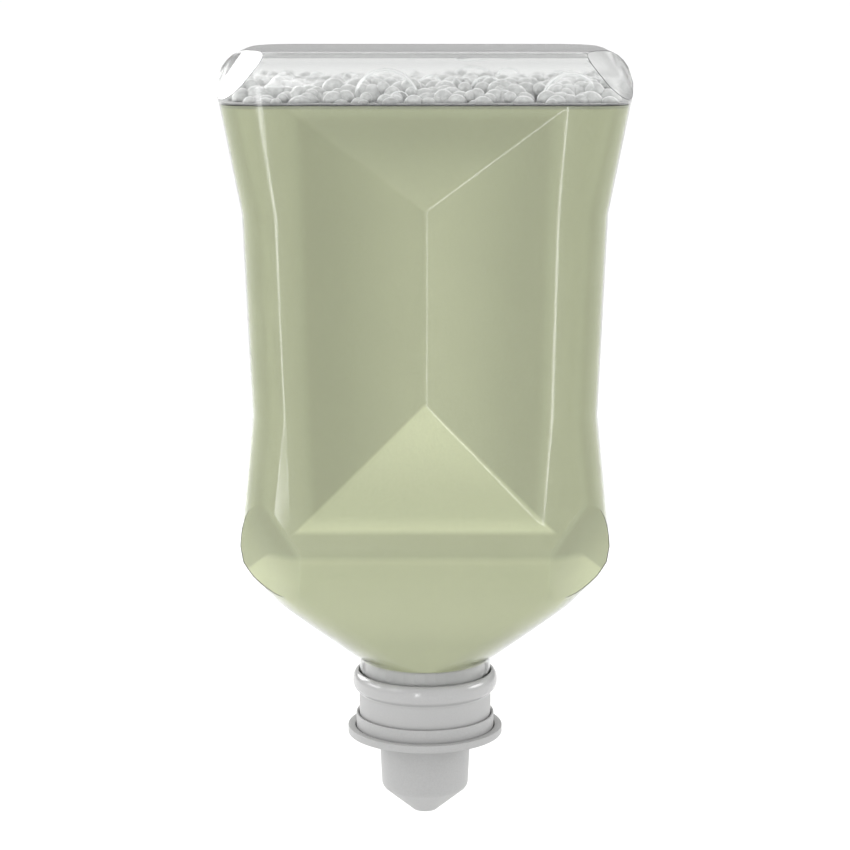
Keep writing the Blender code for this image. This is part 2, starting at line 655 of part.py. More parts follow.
def make_liquid_seal():
    """Cup seal in the stem's groove, with a lip that wipes the liquid tube."""
    bore = STEM_GROOVE_RADIUS + GAP
    rim = LIQUID_BORE - GAP
    foot_z = seal_z - SEAL_HEIGHT
    body = (bore + rim) / 2
    return turned("liquid_seal", [
        (rim, seal_z), (rim, seal_z - SEAL_HEIGHT * 0.3), (body, foot_z), (bore, foot_z),
        (bore, seal_z - SEAL_HEIGHT * 0.2), (body, seal_z - SEAL_HEIGHT * 0.3),
    ], INNER_STEPS, parts, soft_seal)


def make_air_piston():
    """Air piston: lipped disc with air ports, and a hub that carries flange and nozzle."""
    lip_top_z = piston_z + PISTON_LIP_HEIGHT
    root = piston_radius - PISTON_LIP_FLARE
    bore = STEM_RADIUS + GAP
    piston = turned("air_piston", [
        (piston_radius, lip_top_z), (root, piston_z), (root, piston_foot_z),
        (hub_radius + HUB_SHOULDER, piston_foot_z), (hub_radius + HUB_SHOULDER, hub_shoulder_z),
        (hub_radius, hub_shoulder_z), (hub_radius, hub_foot_z), (HUB_BORE, hub_foot_z),
        (HUB_BORE, piston_foot_z), (bore, piston_foot_z), (bore, piston_z),
        (root - PISTON_LIP_WALL, piston_z), (piston_radius - PISTON_LIP_WALL, lip_top_z),
    ], OUTER_STEPS, parts, natural_plastic)
    ports = ring_of_holes(
        "air_ports", AIR_PORTS, AIR_PORT_RADIUS, AIR_PORT_PITCH_RADIUS, piston_z + GAP, piston_foot_z - GAP)
    add_boolean(piston, ports)
    return piston


def make_air_valve():
    """Thin rubber ring that lies over the air ports."""
    inner = STEM_COLLAR_RADIUS + GAP
    outer = AIR_PORT_PITCH_RADIUS + AIR_PORT_RADIUS + AIR_VALVE_LAP
    foot_z = air_valve_z - AIR_VALVE_THICKNESS
    return turned("air_valve", [
        (outer, air_valve_z), (outer, foot_z), (inner, foot_z), (inner, air_valve_z),
    ], INNER_STEPS, parts, soft_seal)


def make_mixing_insert():
    """Plug where soap from the stem meets air from the ports."""
    body = HUB_BORE - GAP
    socket = STEM_RADIUS + GAP
    pocket = OUTLET_VALVE_RADIUS + GAP
    hole = VALVE_STEM_RADIUS + GAP
    insert = turned("mixing_insert", [
        (body, insert_z + INSERT_RISE), (body, insert_z), (hub_radius, insert_z),
        (hub_radius, insert_foot_z), (pocket, insert_foot_z), (pocket, valve_pocket_z),
        (hole, valve_pocket_z), (hole, socket_z), (socket, socket_z),
        (socket, insert_z + INSERT_RISE),
    ], INNER_STEPS, parts, natural_plastic)
    high = insert_z + INSERT_RISE + GAP
    low = insert_foot_z - GAP
    ports = ring_of_holes("mix_ports", MIX_PORTS, MIX_PORT_RADIUS, MIX_PORT_PITCH_RADIUS, high, low)
    add_boolean(insert, ports)
    flutes = ring_of_holes(
        "soap_flutes", SOAP_FLUTES, SOAP_FLUTE_RADIUS, SOAP_FLUTE_PITCH_RADIUS, high, low, steps=8)
    add_boolean(insert, flutes)
    return insert


def make_outlet_valve():
    """Rubber valve under the mixing insert that stops foam from being drawn back."""
    seat_z = valve_pocket_z - GAP
    plate = socket_z + GAP - seat_z
    return rubber_valve(
        "outlet_valve", OUTLET_VALVE_RADIUS, seat_z, plate, STEM_BORE - GAP, VALVE_BARB_HEIGHT)


def make_screen(name, top_z):
    """Round mesh screen: a disc with a lattice of square holes."""
    foot_z = top_z - SCREEN_THICKNESS
    screen = turned(name, [
        (0.0, top_z), (hub_radius, top_z), (hub_radius, foot_z), (0.0, foot_z),
    ], INNER_STEPS, parts, screen_mesh, on_axis=True)
    opening = SCREEN_PITCH - SCREEN_THREAD
    reach = hub_radius - SLEEVE_WALL
    count = int(reach / SCREEN_PITCH)
    bm = bmesh.new()
    for row in range(-count, count + 1):
        for column in range(-count, count + 1):
            x = column * SCREEN_PITCH
            y = row * SCREEN_PITCH
            corner = math.hypot(abs(x) + opening / 2, abs(y) + opening / 2)
            if corner < reach:
                size = (opening, opening, SCREEN_THICKNESS + 2 * GAP)
                block(bm, size, (x, y, top_z - SCREEN_THICKNESS / 2))
    add_boolean(screen, mark_cutter(add_mesh_object(name + "_holes", bm, cutters)))
    return screen


def make_screen_sleeve():
    """Tube that holds the two screens apart."""
    foot_z = sleeve_z - SLEEVE_LENGTH
    bore = hub_radius - SLEEVE_WALL
    return turned("screen_sleeve", [
        (hub_radius, sleeve_z), (hub_radius, foot_z), (bore, foot_z), (bore, sleeve_z),
    ], INNER_STEPS, parts, natural_plastic)


def make_drive_flange():
    """Shallow cup with a broad rim, which a dispenser's fork grips to work the pump."""
    boss_top_z = hub_shoulder_z - GAP
    soften = RIM_THICKNESS / 6
    return turned("drive_flange", [
        (rim_radius - soften, rim_z), (rim_radius, rim_z - soften), (rim_radius, rim_foot_z + soften),
        (rim_radius - soften, rim_foot_z), (rim_bore, rim_foot_z), (rim_bore - RIM_RAISE, floor_foot_z),
        (recess_radius, floor_foot_z), (recess_radius, recess_z), (nozzle_bore, recess_z),
        (nozzle_bore, boss_top_z), (nozzle_bore + BOSS_WALL, boss_top_z),
        (nozzle_bore + BOSS_WALL, floor_z), (rim_bore, floor_z), (rim_bore, rim_z),
    ], OUTER_STEPS, parts, white_plastic)


def make_guide_ring():
    """Thin ring that stands in the cup and slides over the collar's skirt."""
    return turned("guide_ring", [
        (ring_radius, ring_z), (ring_radius, ring_foot_z), (ring_bore, ring_foot_z), (ring_bore, ring_z),
    ], OUTER_STEPS, parts, white_plastic)


def make_nozzle():
    """Spout: a base disc that the dust cap grips, a straight barrel and a tapered outlet."""
    base_foot_z = nozzle_z - NOZZLE_BASE
    ledge = hub_radius - SLEEVE_WALL
    return turned("nozzle", [
        (NOZZLE_BASE_RADIUS, nozzle_z), (NOZZLE_BASE_RADIUS, base_foot_z), (nozzle_radius, base_foot_z),
        (nozzle_radius, nozzle_ledge_z), (OUTLET_RADIUS + OUTLET_WALL, nozzle_tip_z),
        (OUTLET_RADIUS, nozzle_tip_z), (ledge, nozzle_ledge_z), (nozzle_bore, nozzle_ledge_z),
        (nozzle_bore, nozzle_z),
    ], OUTER_STEPS, parts, white_plastic)


def make_dust_cap():
    """Thin cap that closes the outlet until the pack is put to use."""
    shoulder_z = cap_tip_z + CAP_NOSE
    shoulder = cap_radius - CAP_TAPER
    soft = CAP_SHOULDER_RADIUS
    outline = [(cap_radius, nozzle_z), (cap_radius, nozzle_z - CAP_GRIP)]
    outline += arc((shoulder - soft, shoulder_z + soft / 2), soft, 0, -45, 3)
    outline += arc((CAP_TIP_RADIUS - CAP_TIP_ROUND, cap_tip_z + CAP_TIP_ROUND), CAP_TIP_ROUND, -35, -90, 2)
    outline += [(0.0, cap_tip_z), (0.0, cap_floor_z)]
    inner = arc((shoulder - soft, shoulder_z + soft / 2), soft - CAP_WALL, -45, 0, 3)
    outline += [(CAP_TIP_RADIUS - CAP_WALL, cap_floor_z)] + inner
    outline += [(cap_bore, nozzle_z - CAP_GRIP), (cap_bore, nozzle_z)]
    return turned_cup("dust_cap", outline, OUTER_STEPS, parts, white_plastic)


def turned_cup(name, outline, steps, collection, material):
    """Turn a cup, whose outline meets the axis twice in a row at its floor."""
    turn_at = [index for index, point in enumerate(outline) if point[0] == 0.0]
    inside = outline[turn_at[1]:]
    outside = outline[:turn_at[0] + 1]
    return turned(name, inside + outside, steps, collection, material, on_axis=True)


def add_carrier(name, z, riders, parent=None):
    """An empty on a joint's axis that carries the pieces that move with it."""
    carrier = bpy.data.objects.new(name, None)
    carrier.empty_display_type = "PLAIN_AXES"
    carrier.empty_display_size = 0.01
    carrier.location = (0.0, 0.0, z - (parent.location.z if parent else 0.0))
    carrier.parent = parent
    parts.objects.link(carrier)
    for rider in riders:
        rider.parent = carrier
        rider.location = (0.0, 0.0, -z)
    return carrier


for old in list(bpy.data.objects):
    bpy.data.objects.remove(old, do_unlink=True)

parts = make_collection("hand_soap_refill_pack")
cutters = make_collection("cutters")

clear_plastic = make_material("clear_plastic", (0.90, 0.92, 0.90), 0.08, transmission=1.0)
soap_green = make_material("soap_green", (0.48, 0.52, 0.34), 0.30, subsurface=0.2)
foam_white = make_material("foam_white", (0.72, 0.73, 0.72), 0.35, transmission=0.4)
white_plastic = make_material("white_plastic", (0.72, 0.72, 0.72), 0.35)
natural_plastic = make_material("natural_plastic", (0.78, 0.78, 0.76), 0.40)
soft_seal = make_material("soft_seal", (0.55, 0.56, 0.57), 0.60)
screen_mesh = make_material("screen_mesh", (0.80, 0.80, 0.78), 0.50)

make_bottle()
make_soap()
make_foam()
make_collar()
make_gasket()
make_pump_body()
make_inlet_valve()
pump_riders = [
    make_piston_stem(), make_liquid_seal(), make_air_piston(), make_air_valve(),
    make_mixing_insert(), make_outlet_valve(), make_screen("upper_screen", upper_screen_z),
    make_screen_sleeve(), make_screen("lower_screen", lower_screen_z), make_drive_flange(),
    make_guide_ring(), make_nozzle()]
actuator = add_carrier("actuator", floor_z, pump_riders)
add_carrier("cap", nozzle_z, [make_dust_cap()], actuator)
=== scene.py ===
"""Looks of the hand soap refill pack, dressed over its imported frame."""

import math
import random

import bmesh
import bpy
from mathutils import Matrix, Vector


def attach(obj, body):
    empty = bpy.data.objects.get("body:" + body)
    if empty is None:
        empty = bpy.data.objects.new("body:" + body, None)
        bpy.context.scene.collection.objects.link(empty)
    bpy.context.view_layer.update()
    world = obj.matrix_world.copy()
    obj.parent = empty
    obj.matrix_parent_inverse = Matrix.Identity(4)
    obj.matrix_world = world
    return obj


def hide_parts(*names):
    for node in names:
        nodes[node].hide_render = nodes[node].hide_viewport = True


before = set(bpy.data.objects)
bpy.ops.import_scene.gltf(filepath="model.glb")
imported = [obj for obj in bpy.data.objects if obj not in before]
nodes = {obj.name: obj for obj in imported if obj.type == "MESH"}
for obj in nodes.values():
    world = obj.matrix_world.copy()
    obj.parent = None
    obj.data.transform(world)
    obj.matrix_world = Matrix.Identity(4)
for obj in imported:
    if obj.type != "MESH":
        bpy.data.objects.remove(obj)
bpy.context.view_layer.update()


# Camera
# The photograph looks a little down on the front of the pack, from far enough away that its
# sides stay nearly parallel.

CAMERA_TARGET = Vector((0.0, 0.0, 0.0805))
CAMERA_DISTANCE = 0.8
CAMERA_TILT = math.radians(10.5)
PHOTO_WIDTH = 850            # pixels
PIXELS_PER_METRE = 3125      # at the pack's axis
SENSOR = 36.0                # millimetres

camera_data = bpy.data.cameras.new("camera")
camera_data.sensor_width = SENSOR
camera_data.lens = SENSOR * CAMERA_DISTANCE * PIXELS_PER_METRE / PHOTO_WIDTH
camera = bpy.data.objects.new("camera", camera_data)
bpy.context.scene.collection.objects.link(camera)
camera_side = Vector((0.0, -math.cos(CAMERA_TILT), math.sin(CAMERA_TILT)))
camera.location = CAMERA_TARGET + CAMERA_DISTANCE * camera_side
camera.rotation_euler = camera_side.to_track_quat("Z", "Y").to_euler()
bpy.context.scene.camera = camera
bpy.context.scene.view_settings.view_transform = "Standard"


# Room
# A white studio: white card all round but for a grey strip low down behind the pack, which its
# clear base mirrors, and soft lamps for its slopes, its glossy bead and its corner facets.

BACKDROP = 1.0
CARD_ROUND = 1.14
CARD_LOW = 0.55              # a grey strip behind, just over the floor's far edge
LAMPS = [
    # name, place, width, height, watts
    ("key_lamp", (-0.80, -0.60, 0.62), 0.45, 0.45, 0.80),
    ("right_lamp", (0.92, 0.03, 0.36), 0.40, 0.24, 1.90),
    ("left_lamp", (-0.92, 0.03, 0.36), 0.40, 0.24, 1.20),
    ("corner_lamp", (-0.66, 0.68, 0.46), 0.45, 0.45, 3.60),
    ("crease_lamp", (-0.105, -0.49, 0.06), 0.03, 0.26, 0.20),
]


def add_node(tree, kind, **values):
    """Add a node and set its properties, and its inputs by number or name."""
    node = tree.nodes.new(kind)
    inputs = values.pop("inputs", {})
    for key, value in values.items():
        setattr(node, key, value)
    for key, value in inputs.items():
        node.inputs[key].default_value = value
    return node


world = bpy.data.worlds.new("studio")
bpy.context.scene.world = world
world.use_nodes = True
tree = world.node_tree
tree.nodes.clear()
direction = add_node(tree, "ShaderNodeTexCoord")
split = add_node(tree, "ShaderNodeSeparateXYZ")
behind = add_node(tree, "ShaderNodeMapRange", interpolation_type="SMOOTHSTEP", inputs={
    "From Min": 0.30, "From Max": 0.70})
low = add_node(tree, "ShaderNodeMapRange", interpolation_type="SMOOTHSTEP", inputs={
    "From Min": 0.45, "From Max": 0.10})
strip = add_node(tree, "ShaderNodeMath", operation="MULTIPLY")
strength = add_node(tree, "ShaderNodeMapRange", inputs={"To Min": CARD_ROUND, "To Max": CARD_LOW})
card = add_node(tree, "ShaderNodeBackground", inputs={"Color": (1.0, 1.0, 1.0, 1.0)})
seen = add_node(tree, "ShaderNodeBackground", inputs={"Color": (1.0, 1.0, 1.0, 1.0), "Strength": BACKDROP})
path = add_node(tree, "ShaderNodeLightPath")
mix = add_node(tree, "ShaderNodeMixShader")
output = add_node(tree, "ShaderNodeOutputWorld")
tree.links.new(direction.outputs["Generated"], split.inputs["Vector"])
tree.links.new(split.outputs["Y"], behind.inputs["Value"])
tree.links.new(split.outputs["Z"], low.inputs["Value"])
tree.links.new(behind.outputs["Result"], strip.inputs[0])
tree.links.new(low.outputs["Result"], strip.inputs[1])
tree.links.new(strip.outputs["Value"], strength.inputs["Value"])
tree.links.new(strength.outputs["Result"], card.inputs["Strength"])
tree.links.new(path.outputs["Is Camera Ray"], mix.inputs["Fac"])
tree.links.new(card.outputs["Background"], mix.inputs[1])
tree.links.new(seen.outputs["Background"], mix.inputs[2])
tree.links.new(mix.outputs["Shader"], output.inputs["Surface"])

for name, place, width, height, watts in LAMPS:
    lamp_data = bpy.data.lights.new(name, "AREA")
    lamp_data.shape = "RECTANGLE"
    lamp_data.energy = watts
    lamp_data.size = width
    lamp_data.size_y = height
    lamp = bpy.data.objects.new(name, lamp_data)
    lamp.location = place
    lamp.rotation_euler = (Vector(place) - CAMERA_TARGET).to_track_quat("Z", "Y").to_euler()
    bpy.context.scene.collection.objects.link(lamp)


# Bottle
# The bottle is blown from clear plastic in one piece: a soft box on a round neck, with a
# fold panel sunk in its front and back and flat facets across its corners. It is modelled
# here as a solid blank, from which the skin, the soap and the foam are all made.

NECK_RADIUS = 0.0212
NECK_END = -0.0025
BASE_HEIGHT = 0.200
FOOT_HEIGHT = 0.0046
WAIST_HEIGHT = 0.089
KINK_HEIGHT = 0.151
FRAME_HEIGHT = 0.190         # level where the panel's upper frame ends
HIP_TOP = 0.047
BAND_TOP = 0.0492            # level where its lower frame starts
QUARTER_POINTS = 12          # corner facets of each section
BASE_ROUND = 0.0100
BASE_FRONT_ROUND = 0.004
FLARE_HALF_WIDTH = 0.0633
HIP_HALF_WIDTH = 0.0576
FRONT_HALF_DEPTH = 0.0385
BASE_HALF_DEPTH = 0.0395

# Each section's height, half width, half depth and corner radius
SECTIONS = [
    (FOOT_HEIGHT, NECK_RADIUS, NECK_RADIUS, NECK_RADIUS),
    (0.0065, 0.0235, 0.0221, 0.0206),
    (0.0110, 0.0289, 0.0238, 0.0196),
    (0.0170, 0.0360, 0.0262, 0.0182),
    (0.0225, 0.0423, 0.0284, 0.0170),
    (0.0262, 0.0463, 0.0299, 0.0163),
    (0.0320, 0.0509, 0.0323, 0.0148),
    (0.0370, 0.0546, 0.0344, 0.0134),
    (0.0415, 0.0569, 0.0363, 0.0122),
    (HIP_TOP, HIP_HALF_WIDTH, FRONT_HALF_DEPTH, 0.0112),
    (BAND_TOP, 0.0574, FRONT_HALF_DEPTH, 0.0110),
    (WAIST_HEIGHT, 0.0532, FRONT_HALF_DEPTH, 0.0110),
    (KINK_HEIGHT, 0.0557, FRONT_HALF_DEPTH, 0.0112),
    (FRAME_HEIGHT, FLARE_HALF_WIDTH, BASE_HALF_DEPTH, 0.0126),
]
CREASE_FOOT = 0.0915
PANEL_DEPTH = 0.013
PANEL_INSET = 0.004
PANEL_RIM = [                # height and half width of the panel's rim, were it sharp
    (0.0540, 0.0374),
    (WAIST_HEIGHT, 0.0390),
    (KINK_HEIGHT, 0.0404),
    (0.1860, 0.0447),
]
RIM_ROUND = 0.0030           # half the width of the rim's soft edge
RIM_STEPS = 4
CREASE_ROUND = 0.0009
TOP_FACET = ((0.73, 0.34, 0.58), (FLARE_HALF_WIDTH, BASE_HALF_DEPTH, BASE_HEIGHT), 0.0123)
LOW_FACET = ((0.49, 0.81, -0.31), (HIP_HALF_WIDTH, FRONT_HALF_DEPTH, HIP_TOP), 0.0095)
SKIN = 0.0003
SMOOTH_ANGLE = math.radians(24)
NEAR = 0.00002


def deselect_all():
    """Leave nothing selected, in object mode."""
    if bpy.context.object and bpy.context.object.mode == "EDIT":
        bpy.ops.object.mode_set(mode="OBJECT")
    bpy.ops.object.select_all(action="DESELECT")


def name_piece(name):
    """Name the active object and its mesh."""
    piece = bpy.context.object
    piece.name = name
    piece.data.name = name
    return piece


def select_parts(kind, test):
    """Select the edit mesh's verts, edges or faces that pass a test, and nothing else."""
    bpy.ops.mesh.select_mode(type={"verts": "VERT", "edges": "EDGE", "faces": "FACE"}[kind])
    bpy.ops.mesh.select_all(action="DESELECT")
    mesh = bpy.context.object.data
    bm = bmesh.from_edit_mesh(mesh)
    for part in getattr(bm, kind):
        if test(part):
            part.select_set(True)
    bm.select_flush_mode()
    bmesh.update_edit_mesh(mesh)


def centre_of(part):
    """Middle of an edge or a face."""
    points = [vert.co for vert in part.verts]
    return sum(points, Vector()) / len(points)


def copy_piece(source, name):
    """A copy with its own mesh, active and selected."""
    deselect_all()
    piece = source.copy()
    piece.data = source.data.copy()
    piece.name = name
    piece.data.name = name
    bpy.context.scene.collection.objects.link(piece)
    piece.select_set(True)
    bpy.context.view_layer.objects.active = piece
    return piece


def smooth(piece, angle=SMOOTH_ANGLE):
    """Shade a piece smooth, with its sharper edges kept."""
    deselect_all()
    piece.select_set(True)
    bpy.context.view_layer.objects.active = piece
    bpy.ops.object.shade_smooth_by_angle(angle=angle)


def spread_ring(z, width, depth):
    """Move the four quarters of the section at a height apart, which makes a rounded box."""
    for axis, shift in ((0, width), (1, depth)):
        for side in (-1, 1):
            select_parts("verts", lambda v: abs(v.co.z - z) < NEAR and v.co[axis] * side > 0)
            move = [0.0, 0.0, 0.0]
            move[axis] = side * shift
            bpy.ops.transform.translate(value=move)


def raise_ring(low, high):
    """Extrude the section at one height up to the next, with its own size and corners."""
    low_z, low_width, low_depth, low_radius = low
    high_z, high_width, high_depth, high_radius = high
    select_parts("verts", lambda v: abs(v.co.z - low_z) < NEAR)
    bpy.ops.mesh.extrude_region_move(TRANSFORM_OT_translate={"value": (0, 0, high_z - low_z)})
    spread_ring(high_z, low_radius - low_width, low_radius - low_depth)
    select_parts("verts", lambda v: abs(v.co.z - high_z) < NEAR)
    share = high_radius / low_radius
    bpy.ops.transform.resize(value=(share, share, 1), center_override=(0, 0, high_z))
    spread_ring(high_z, high_width - high_radius, high_depth - high_radius)


def base_sections():
    """Sections round the edge between the sides and the base."""
    centre = FLARE_HALF_WIDTH - BASE_ROUND
    shallow = BASE_HALF_DEPTH - BASE_FRONT_ROUND
    rings = []
    for degrees in (28, 42, 56, 70, 81):
        angle = math.radians(degrees)
        z = BASE_HEIGHT - BASE_ROUND + BASE_ROUND * math.sin(angle)
        drop = max(0.0, z - (BASE_HEIGHT - BASE_FRONT_ROUND))
        depth = shallow + math.sqrt(BASE_FRONT_ROUND ** 2 - drop ** 2)
        rings.append((z, centre + BASE_ROUND * math.cos(angle), depth, 0.0128))
    return rings + [(BASE_HEIGHT, centre, shallow, 0.0125)]


deselect_all()
bpy.ops.mesh.primitive_circle_add(
    vertices=4 * QUARTER_POINTS, radius=NECK_RADIUS, fill_type="NOTHING", location=(0, 0, 0),
    rotation=(0, 0, math.pi / (4 * QUARTER_POINTS)))
bpy.ops.object.transform_apply(rotation=True)
blank = name_piece("bottle_blank")
bpy.ops.object.mode_set(mode="EDIT")
bpy.ops.mesh.select_all(action="SELECT")
bpy.ops.transform.translate(value=(0, 0, NECK_END))
stack = [(NECK_END, NECK_RADIUS, NECK_RADIUS, NECK_RADIUS)] + SECTIONS + base_sections()
for low, high in zip(stack, stack[1:]):
    raise_ring(low, high)
for end in (BASE_HEIGHT, NECK_END):
    select_parts("edges", lambda e: e.is_boundary and abs(centre_of(e).z - end) < NEAR)
    bpy.ops.mesh.edge_face_add()
bpy.ops.mesh.select_all(action="SELECT")
bpy.ops.mesh.normals_make_consistent(inside=False)

# Fold panel: an inset frame in the front, its middle drawn in to an upright crease
select_parts("faces", lambda f: f.normal.y < -0.99 and BAND_TOP < centre_of(f).z < FRAME_HEIGHT
             and abs(centre_of(f).x) < 0.001)
bpy.ops.mesh.inset(thickness=PANEL_INSET)
bm = bmesh.from_edit_mesh(blank.data)
rim_verts = sorted({v for f in bm.faces if f.select for v in f.verts}, key=lambda v: v.co.z)
growth = (-RIM_ROUND, 0.0, 0.0, RIM_ROUND)
for row, (rim_z, half_width) in enumerate(PANEL_RIM):
    for vert in rim_verts[2 * row:2 * row + 2]:
        vert.co.x = math.copysign(half_width + RIM_ROUND, vert.co.x)
        vert.co.z = rim_z + growth[row]
bmesh.update_edit_mesh(blank.data)
slope = PANEL_DEPTH / PANEL_RIM[1][1]
for step in range(RIM_STEPS):
    drop = slope * RIM_ROUND * ((step + 1) ** 2 - step ** 2) / RIM_STEPS ** 2
    bpy.ops.mesh.inset(thickness=2 * RIM_ROUND / RIM_STEPS, depth=-drop)
crease_y = PANEL_DEPTH - FRONT_HALF_DEPTH
bpy.ops.mesh.extrude_region_move(TRANSFORM_OT_translate={"value": (0, 0, 0)})
bpy.ops.transform.resize(value=(0, 0, 1), center_override=(0, crease_y, 0))
for level, side, end in ((WAIST_HEIGHT, -1, CREASE_FOOT), (KINK_HEIGHT, 1, KINK_HEIGHT)):
    select_parts("verts", lambda v: abs(v.co.x) < NEAR and abs(v.co.y - crease_y) < NEAR
                 and (v.co.z - level) * side > -0.001)
    bpy.ops.transform.resize(value=(0, 0, 0), center_override=(0, crease_y, end))
bpy.ops.mesh.select_all(action="SELECT")
bpy.ops.mesh.remove_doubles(threshold=0.00005)
bpy.ops.mesh.dissolve_degenerate(threshold=0.00001)


def is_panel(face):
    """Whether a face is one of the fold panel's slopes."""
    middle = centre_of(face)
    return -0.97 < face.normal.y < -0.90 and abs(middle.x) < 0.040 and middle.y < -0.02


select_parts("edges", lambda e: len(e.link_faces) == 2 and all(is_panel(f) for f in e.link_faces)
             and e.calc_face_angle() > 0.1)
bpy.ops.mesh.bevel(offset=CREASE_ROUND, segments=2, affect="EDGES")

# Flat facets across the front corners, then the back as the front's mirror
for direction, corner, depth in (TOP_FACET, LOW_FACET):
    for side in (-1, 1):
        normal = Vector((side * direction[0], -direction[1], direction[2])).normalized()
        place = Vector((side * corner[0], -corner[1], corner[2])) - normal * depth
        bpy.ops.mesh.select_all(action="SELECT")
        bpy.ops.mesh.bisect(plane_co=place, plane_no=normal, use_fill=True, clear_outer=True)
bpy.ops.mesh.select_all(action="SELECT")
bpy.ops.mesh.bisect(plane_co=(0, 0, 0), plane_no=(0, 1, 0), clear_outer=True)
bpy.ops.mesh.select_all(action="SELECT")
bpy.ops.mesh.symmetrize(direction="NEGATIVE_Y", threshold=0.00005)
bpy.ops.mesh.select_all(action="SELECT")
bpy.ops.mesh.remove_doubles(threshold=0.00003)
bpy.ops.mesh.normals_make_consistent(inside=False)
bpy.ops.object.mode_set(mode="OBJECT")

skin = copy_piece(blank, "bottle_skin")
bpy.ops.object.mode_set(mode="EDIT")
select_parts("faces", lambda f: f.normal.z < -0.99 and abs(centre_of(f).z - NECK_END) < NEAR)
bpy.ops.mesh.delete(type="FACE")
bpy.ops.mesh.select_all(action="SELECT")
bpy.ops.object.mode_set(mode="OBJECT")
wall = skin.modifiers.new("wall", "SOLIDIFY")
wall.thickness = SKIN
wall.offset = -1.0
bpy.ops.object.modifier_apply(modifier=wall.name)
smooth(skin)


def make_surface_group():
    """Node group: a surface's fine grain, its speckle and a slow unevenness of its tone."""
    group = bpy.data.node_groups.new("moulded_surface", "ShaderNodeTree")
    for label, kind, value in (("Grain", "NodeSocketFloat", 900.0), ("Depth", "NodeSocketFloat", 0.05),
                               ("Unevenness", "NodeSocketFloat", 0.03),
                               ("Speckle", "NodeSocketFloat", 0.0)):
        socket = group.interface.new_socket(name=label, in_out="INPUT", socket_type=kind)
        socket.default_value = value
    group.interface.new_socket(name="Tone", in_out="OUTPUT", socket_type="NodeSocketFloat")
    group.interface.new_socket(name="Normal", in_out="OUTPUT", socket_type="NodeSocketVector")
    entry = add_node(group, "NodeGroupInput")
    leave = add_node(group, "NodeGroupOutput")
    place = add_node(group, "ShaderNodeTexCoord")
    grain = add_node(group, "ShaderNodeTexNoise", inputs={"Detail": 3.0, "Roughness": 0.6})
    bump = add_node(group, "ShaderNodeBump", inputs={"Distance": 0.0002})
    slow = add_node(group, "ShaderNodeTexNoise", inputs={"Scale": 45.0, "Detail": 2.0})
    centred = add_node(group, "ShaderNodeMath", operation="SUBTRACT", inputs={1: 0.5})
    scaled = add_node(group, "ShaderNodeMath", operation="MULTIPLY_ADD", inputs={2: 1.0})
    fine = add_node(group, "ShaderNodeMath", operation="SUBTRACT", inputs={1: 0.5})
    speckled = add_node(group, "ShaderNodeMath", operation="MULTIPLY_ADD")
    group.links.new(place.outputs["Object"], grain.inputs["Vector"])
    group.links.new(place.outputs["Object"], slow.inputs["Vector"])
    group.links.new(entry.outputs["Grain"], grain.inputs["Scale"])
    group.links.new(entry.outputs["Depth"], bump.inputs["Strength"])
    group.links.new(grain.outputs["Fac"], bump.inputs["Height"])
    group.links.new(slow.outputs["Fac"], centred.inputs[0])
    group.links.new(centred.outputs["Value"], scaled.inputs[0])
    group.links.new(entry.outputs["Unevenness"], scaled.inputs[1])
    group.links.new(grain.outputs["Fac"], fine.inputs[0])
    group.links.new(fine.outputs["Value"], speckled.inputs[0])
    group.links.new(entry.outputs["Speckle"], speckled.inputs[1])
    group.links.new(scaled.outputs["Value"], speckled.inputs[2])
    group.links.new(speckled.outputs["Value"], leave.inputs["Tone"])
    group.links.new(bump.outputs["Normal"], leave.inputs["Normal"])
    return group


surface_group = make_surface_group()


def start_material(name, colour, roughness, grain=900.0, depth=0.05, unevenness=0.06, speckle=0.0):
    """A Principled material whose colour and normal come through the moulded surface group."""
    material = bpy.data.materials.new(name)
    material.use_nodes = True
    tree = material.node_tree
    shader = tree.nodes["Principled BSDF"]
    shader.inputs["Roughness"].default_value = roughness
    surface = add_node(tree, "ShaderNodeGroup", node_tree=surface_group, inputs={
        "Grain": grain, "Depth": depth, "Unevenness": unevenness, "Speckle": speckle})
    tint = add_node(tree, "ShaderNodeMix", data_type="RGBA", blend_type="MULTIPLY")
    tint.inputs["Factor"].default_value = 1.0
    tint.inputs[6].default_value = (*colour, 1.0)
    tree.links.new(surface.outputs["Tone"], tint.inputs[7])
    tree.links.new(tint.outputs[2], shader.inputs["Base Color"])
    tree.links.new(surface.outputs["Normal"], shader.inputs["Normal"])
    return material, tree, shader, tint


def let_lamps_through(tree, shader):
    """Let the lamps' light pass straight through a clear material."""
    path = add_node(tree, "ShaderNodeLightPath")
    clear = add_node(tree, "ShaderNodeBsdfTransparent")
    mix = add_node(tree, "ShaderNodeMixShader")
    output = tree.nodes["Material Output"]
    tree.links.new(path.outputs["Is Shadow Ray"], mix.inputs["Fac"])
    tree.links.new(shader.outputs["BSDF"], mix.inputs[1])
    tree.links.new(clear.outputs["BSDF"], mix.inputs[2])
    tree.links.new(mix.outputs["Shader"], output.inputs["Surface"])


clear_plastic, tree, shader, tint = start_material(
    "clear_plastic", (0.93, 0.935, 0.93), 0.10, grain=1400.0, depth=0.03, unevenness=0.0)
shader.inputs["Transmission Weight"].default_value = 1.0
shader.inputs["IOR"].default_value = 1.3
place = add_node(tree, "ShaderNodeTexCoord")
split = add_node(tree, "ShaderNodeSeparateXYZ")
# The tint greys towards the bottle's base, over its last centimetre.
greyer_to_base = add_node(tree, "ShaderNodeMapRange", interpolation_type="SMOOTHSTEP", inputs={
    "From Min": 0.1900, "From Max": 0.1995, "To Min": 1.0, "To Max": 0.84})
tree.links.new(place.outputs["Object"], split.inputs["Vector"])
tree.links.new(split.outputs["Z"], greyer_to_base.inputs["Value"])
tree.links.new(greyer_to_base.outputs["Result"], tint.inputs[7])
let_lamps_through(tree, shader)
skin.data.materials.append(clear_plastic)
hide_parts("bottle")
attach(skin, "pack")
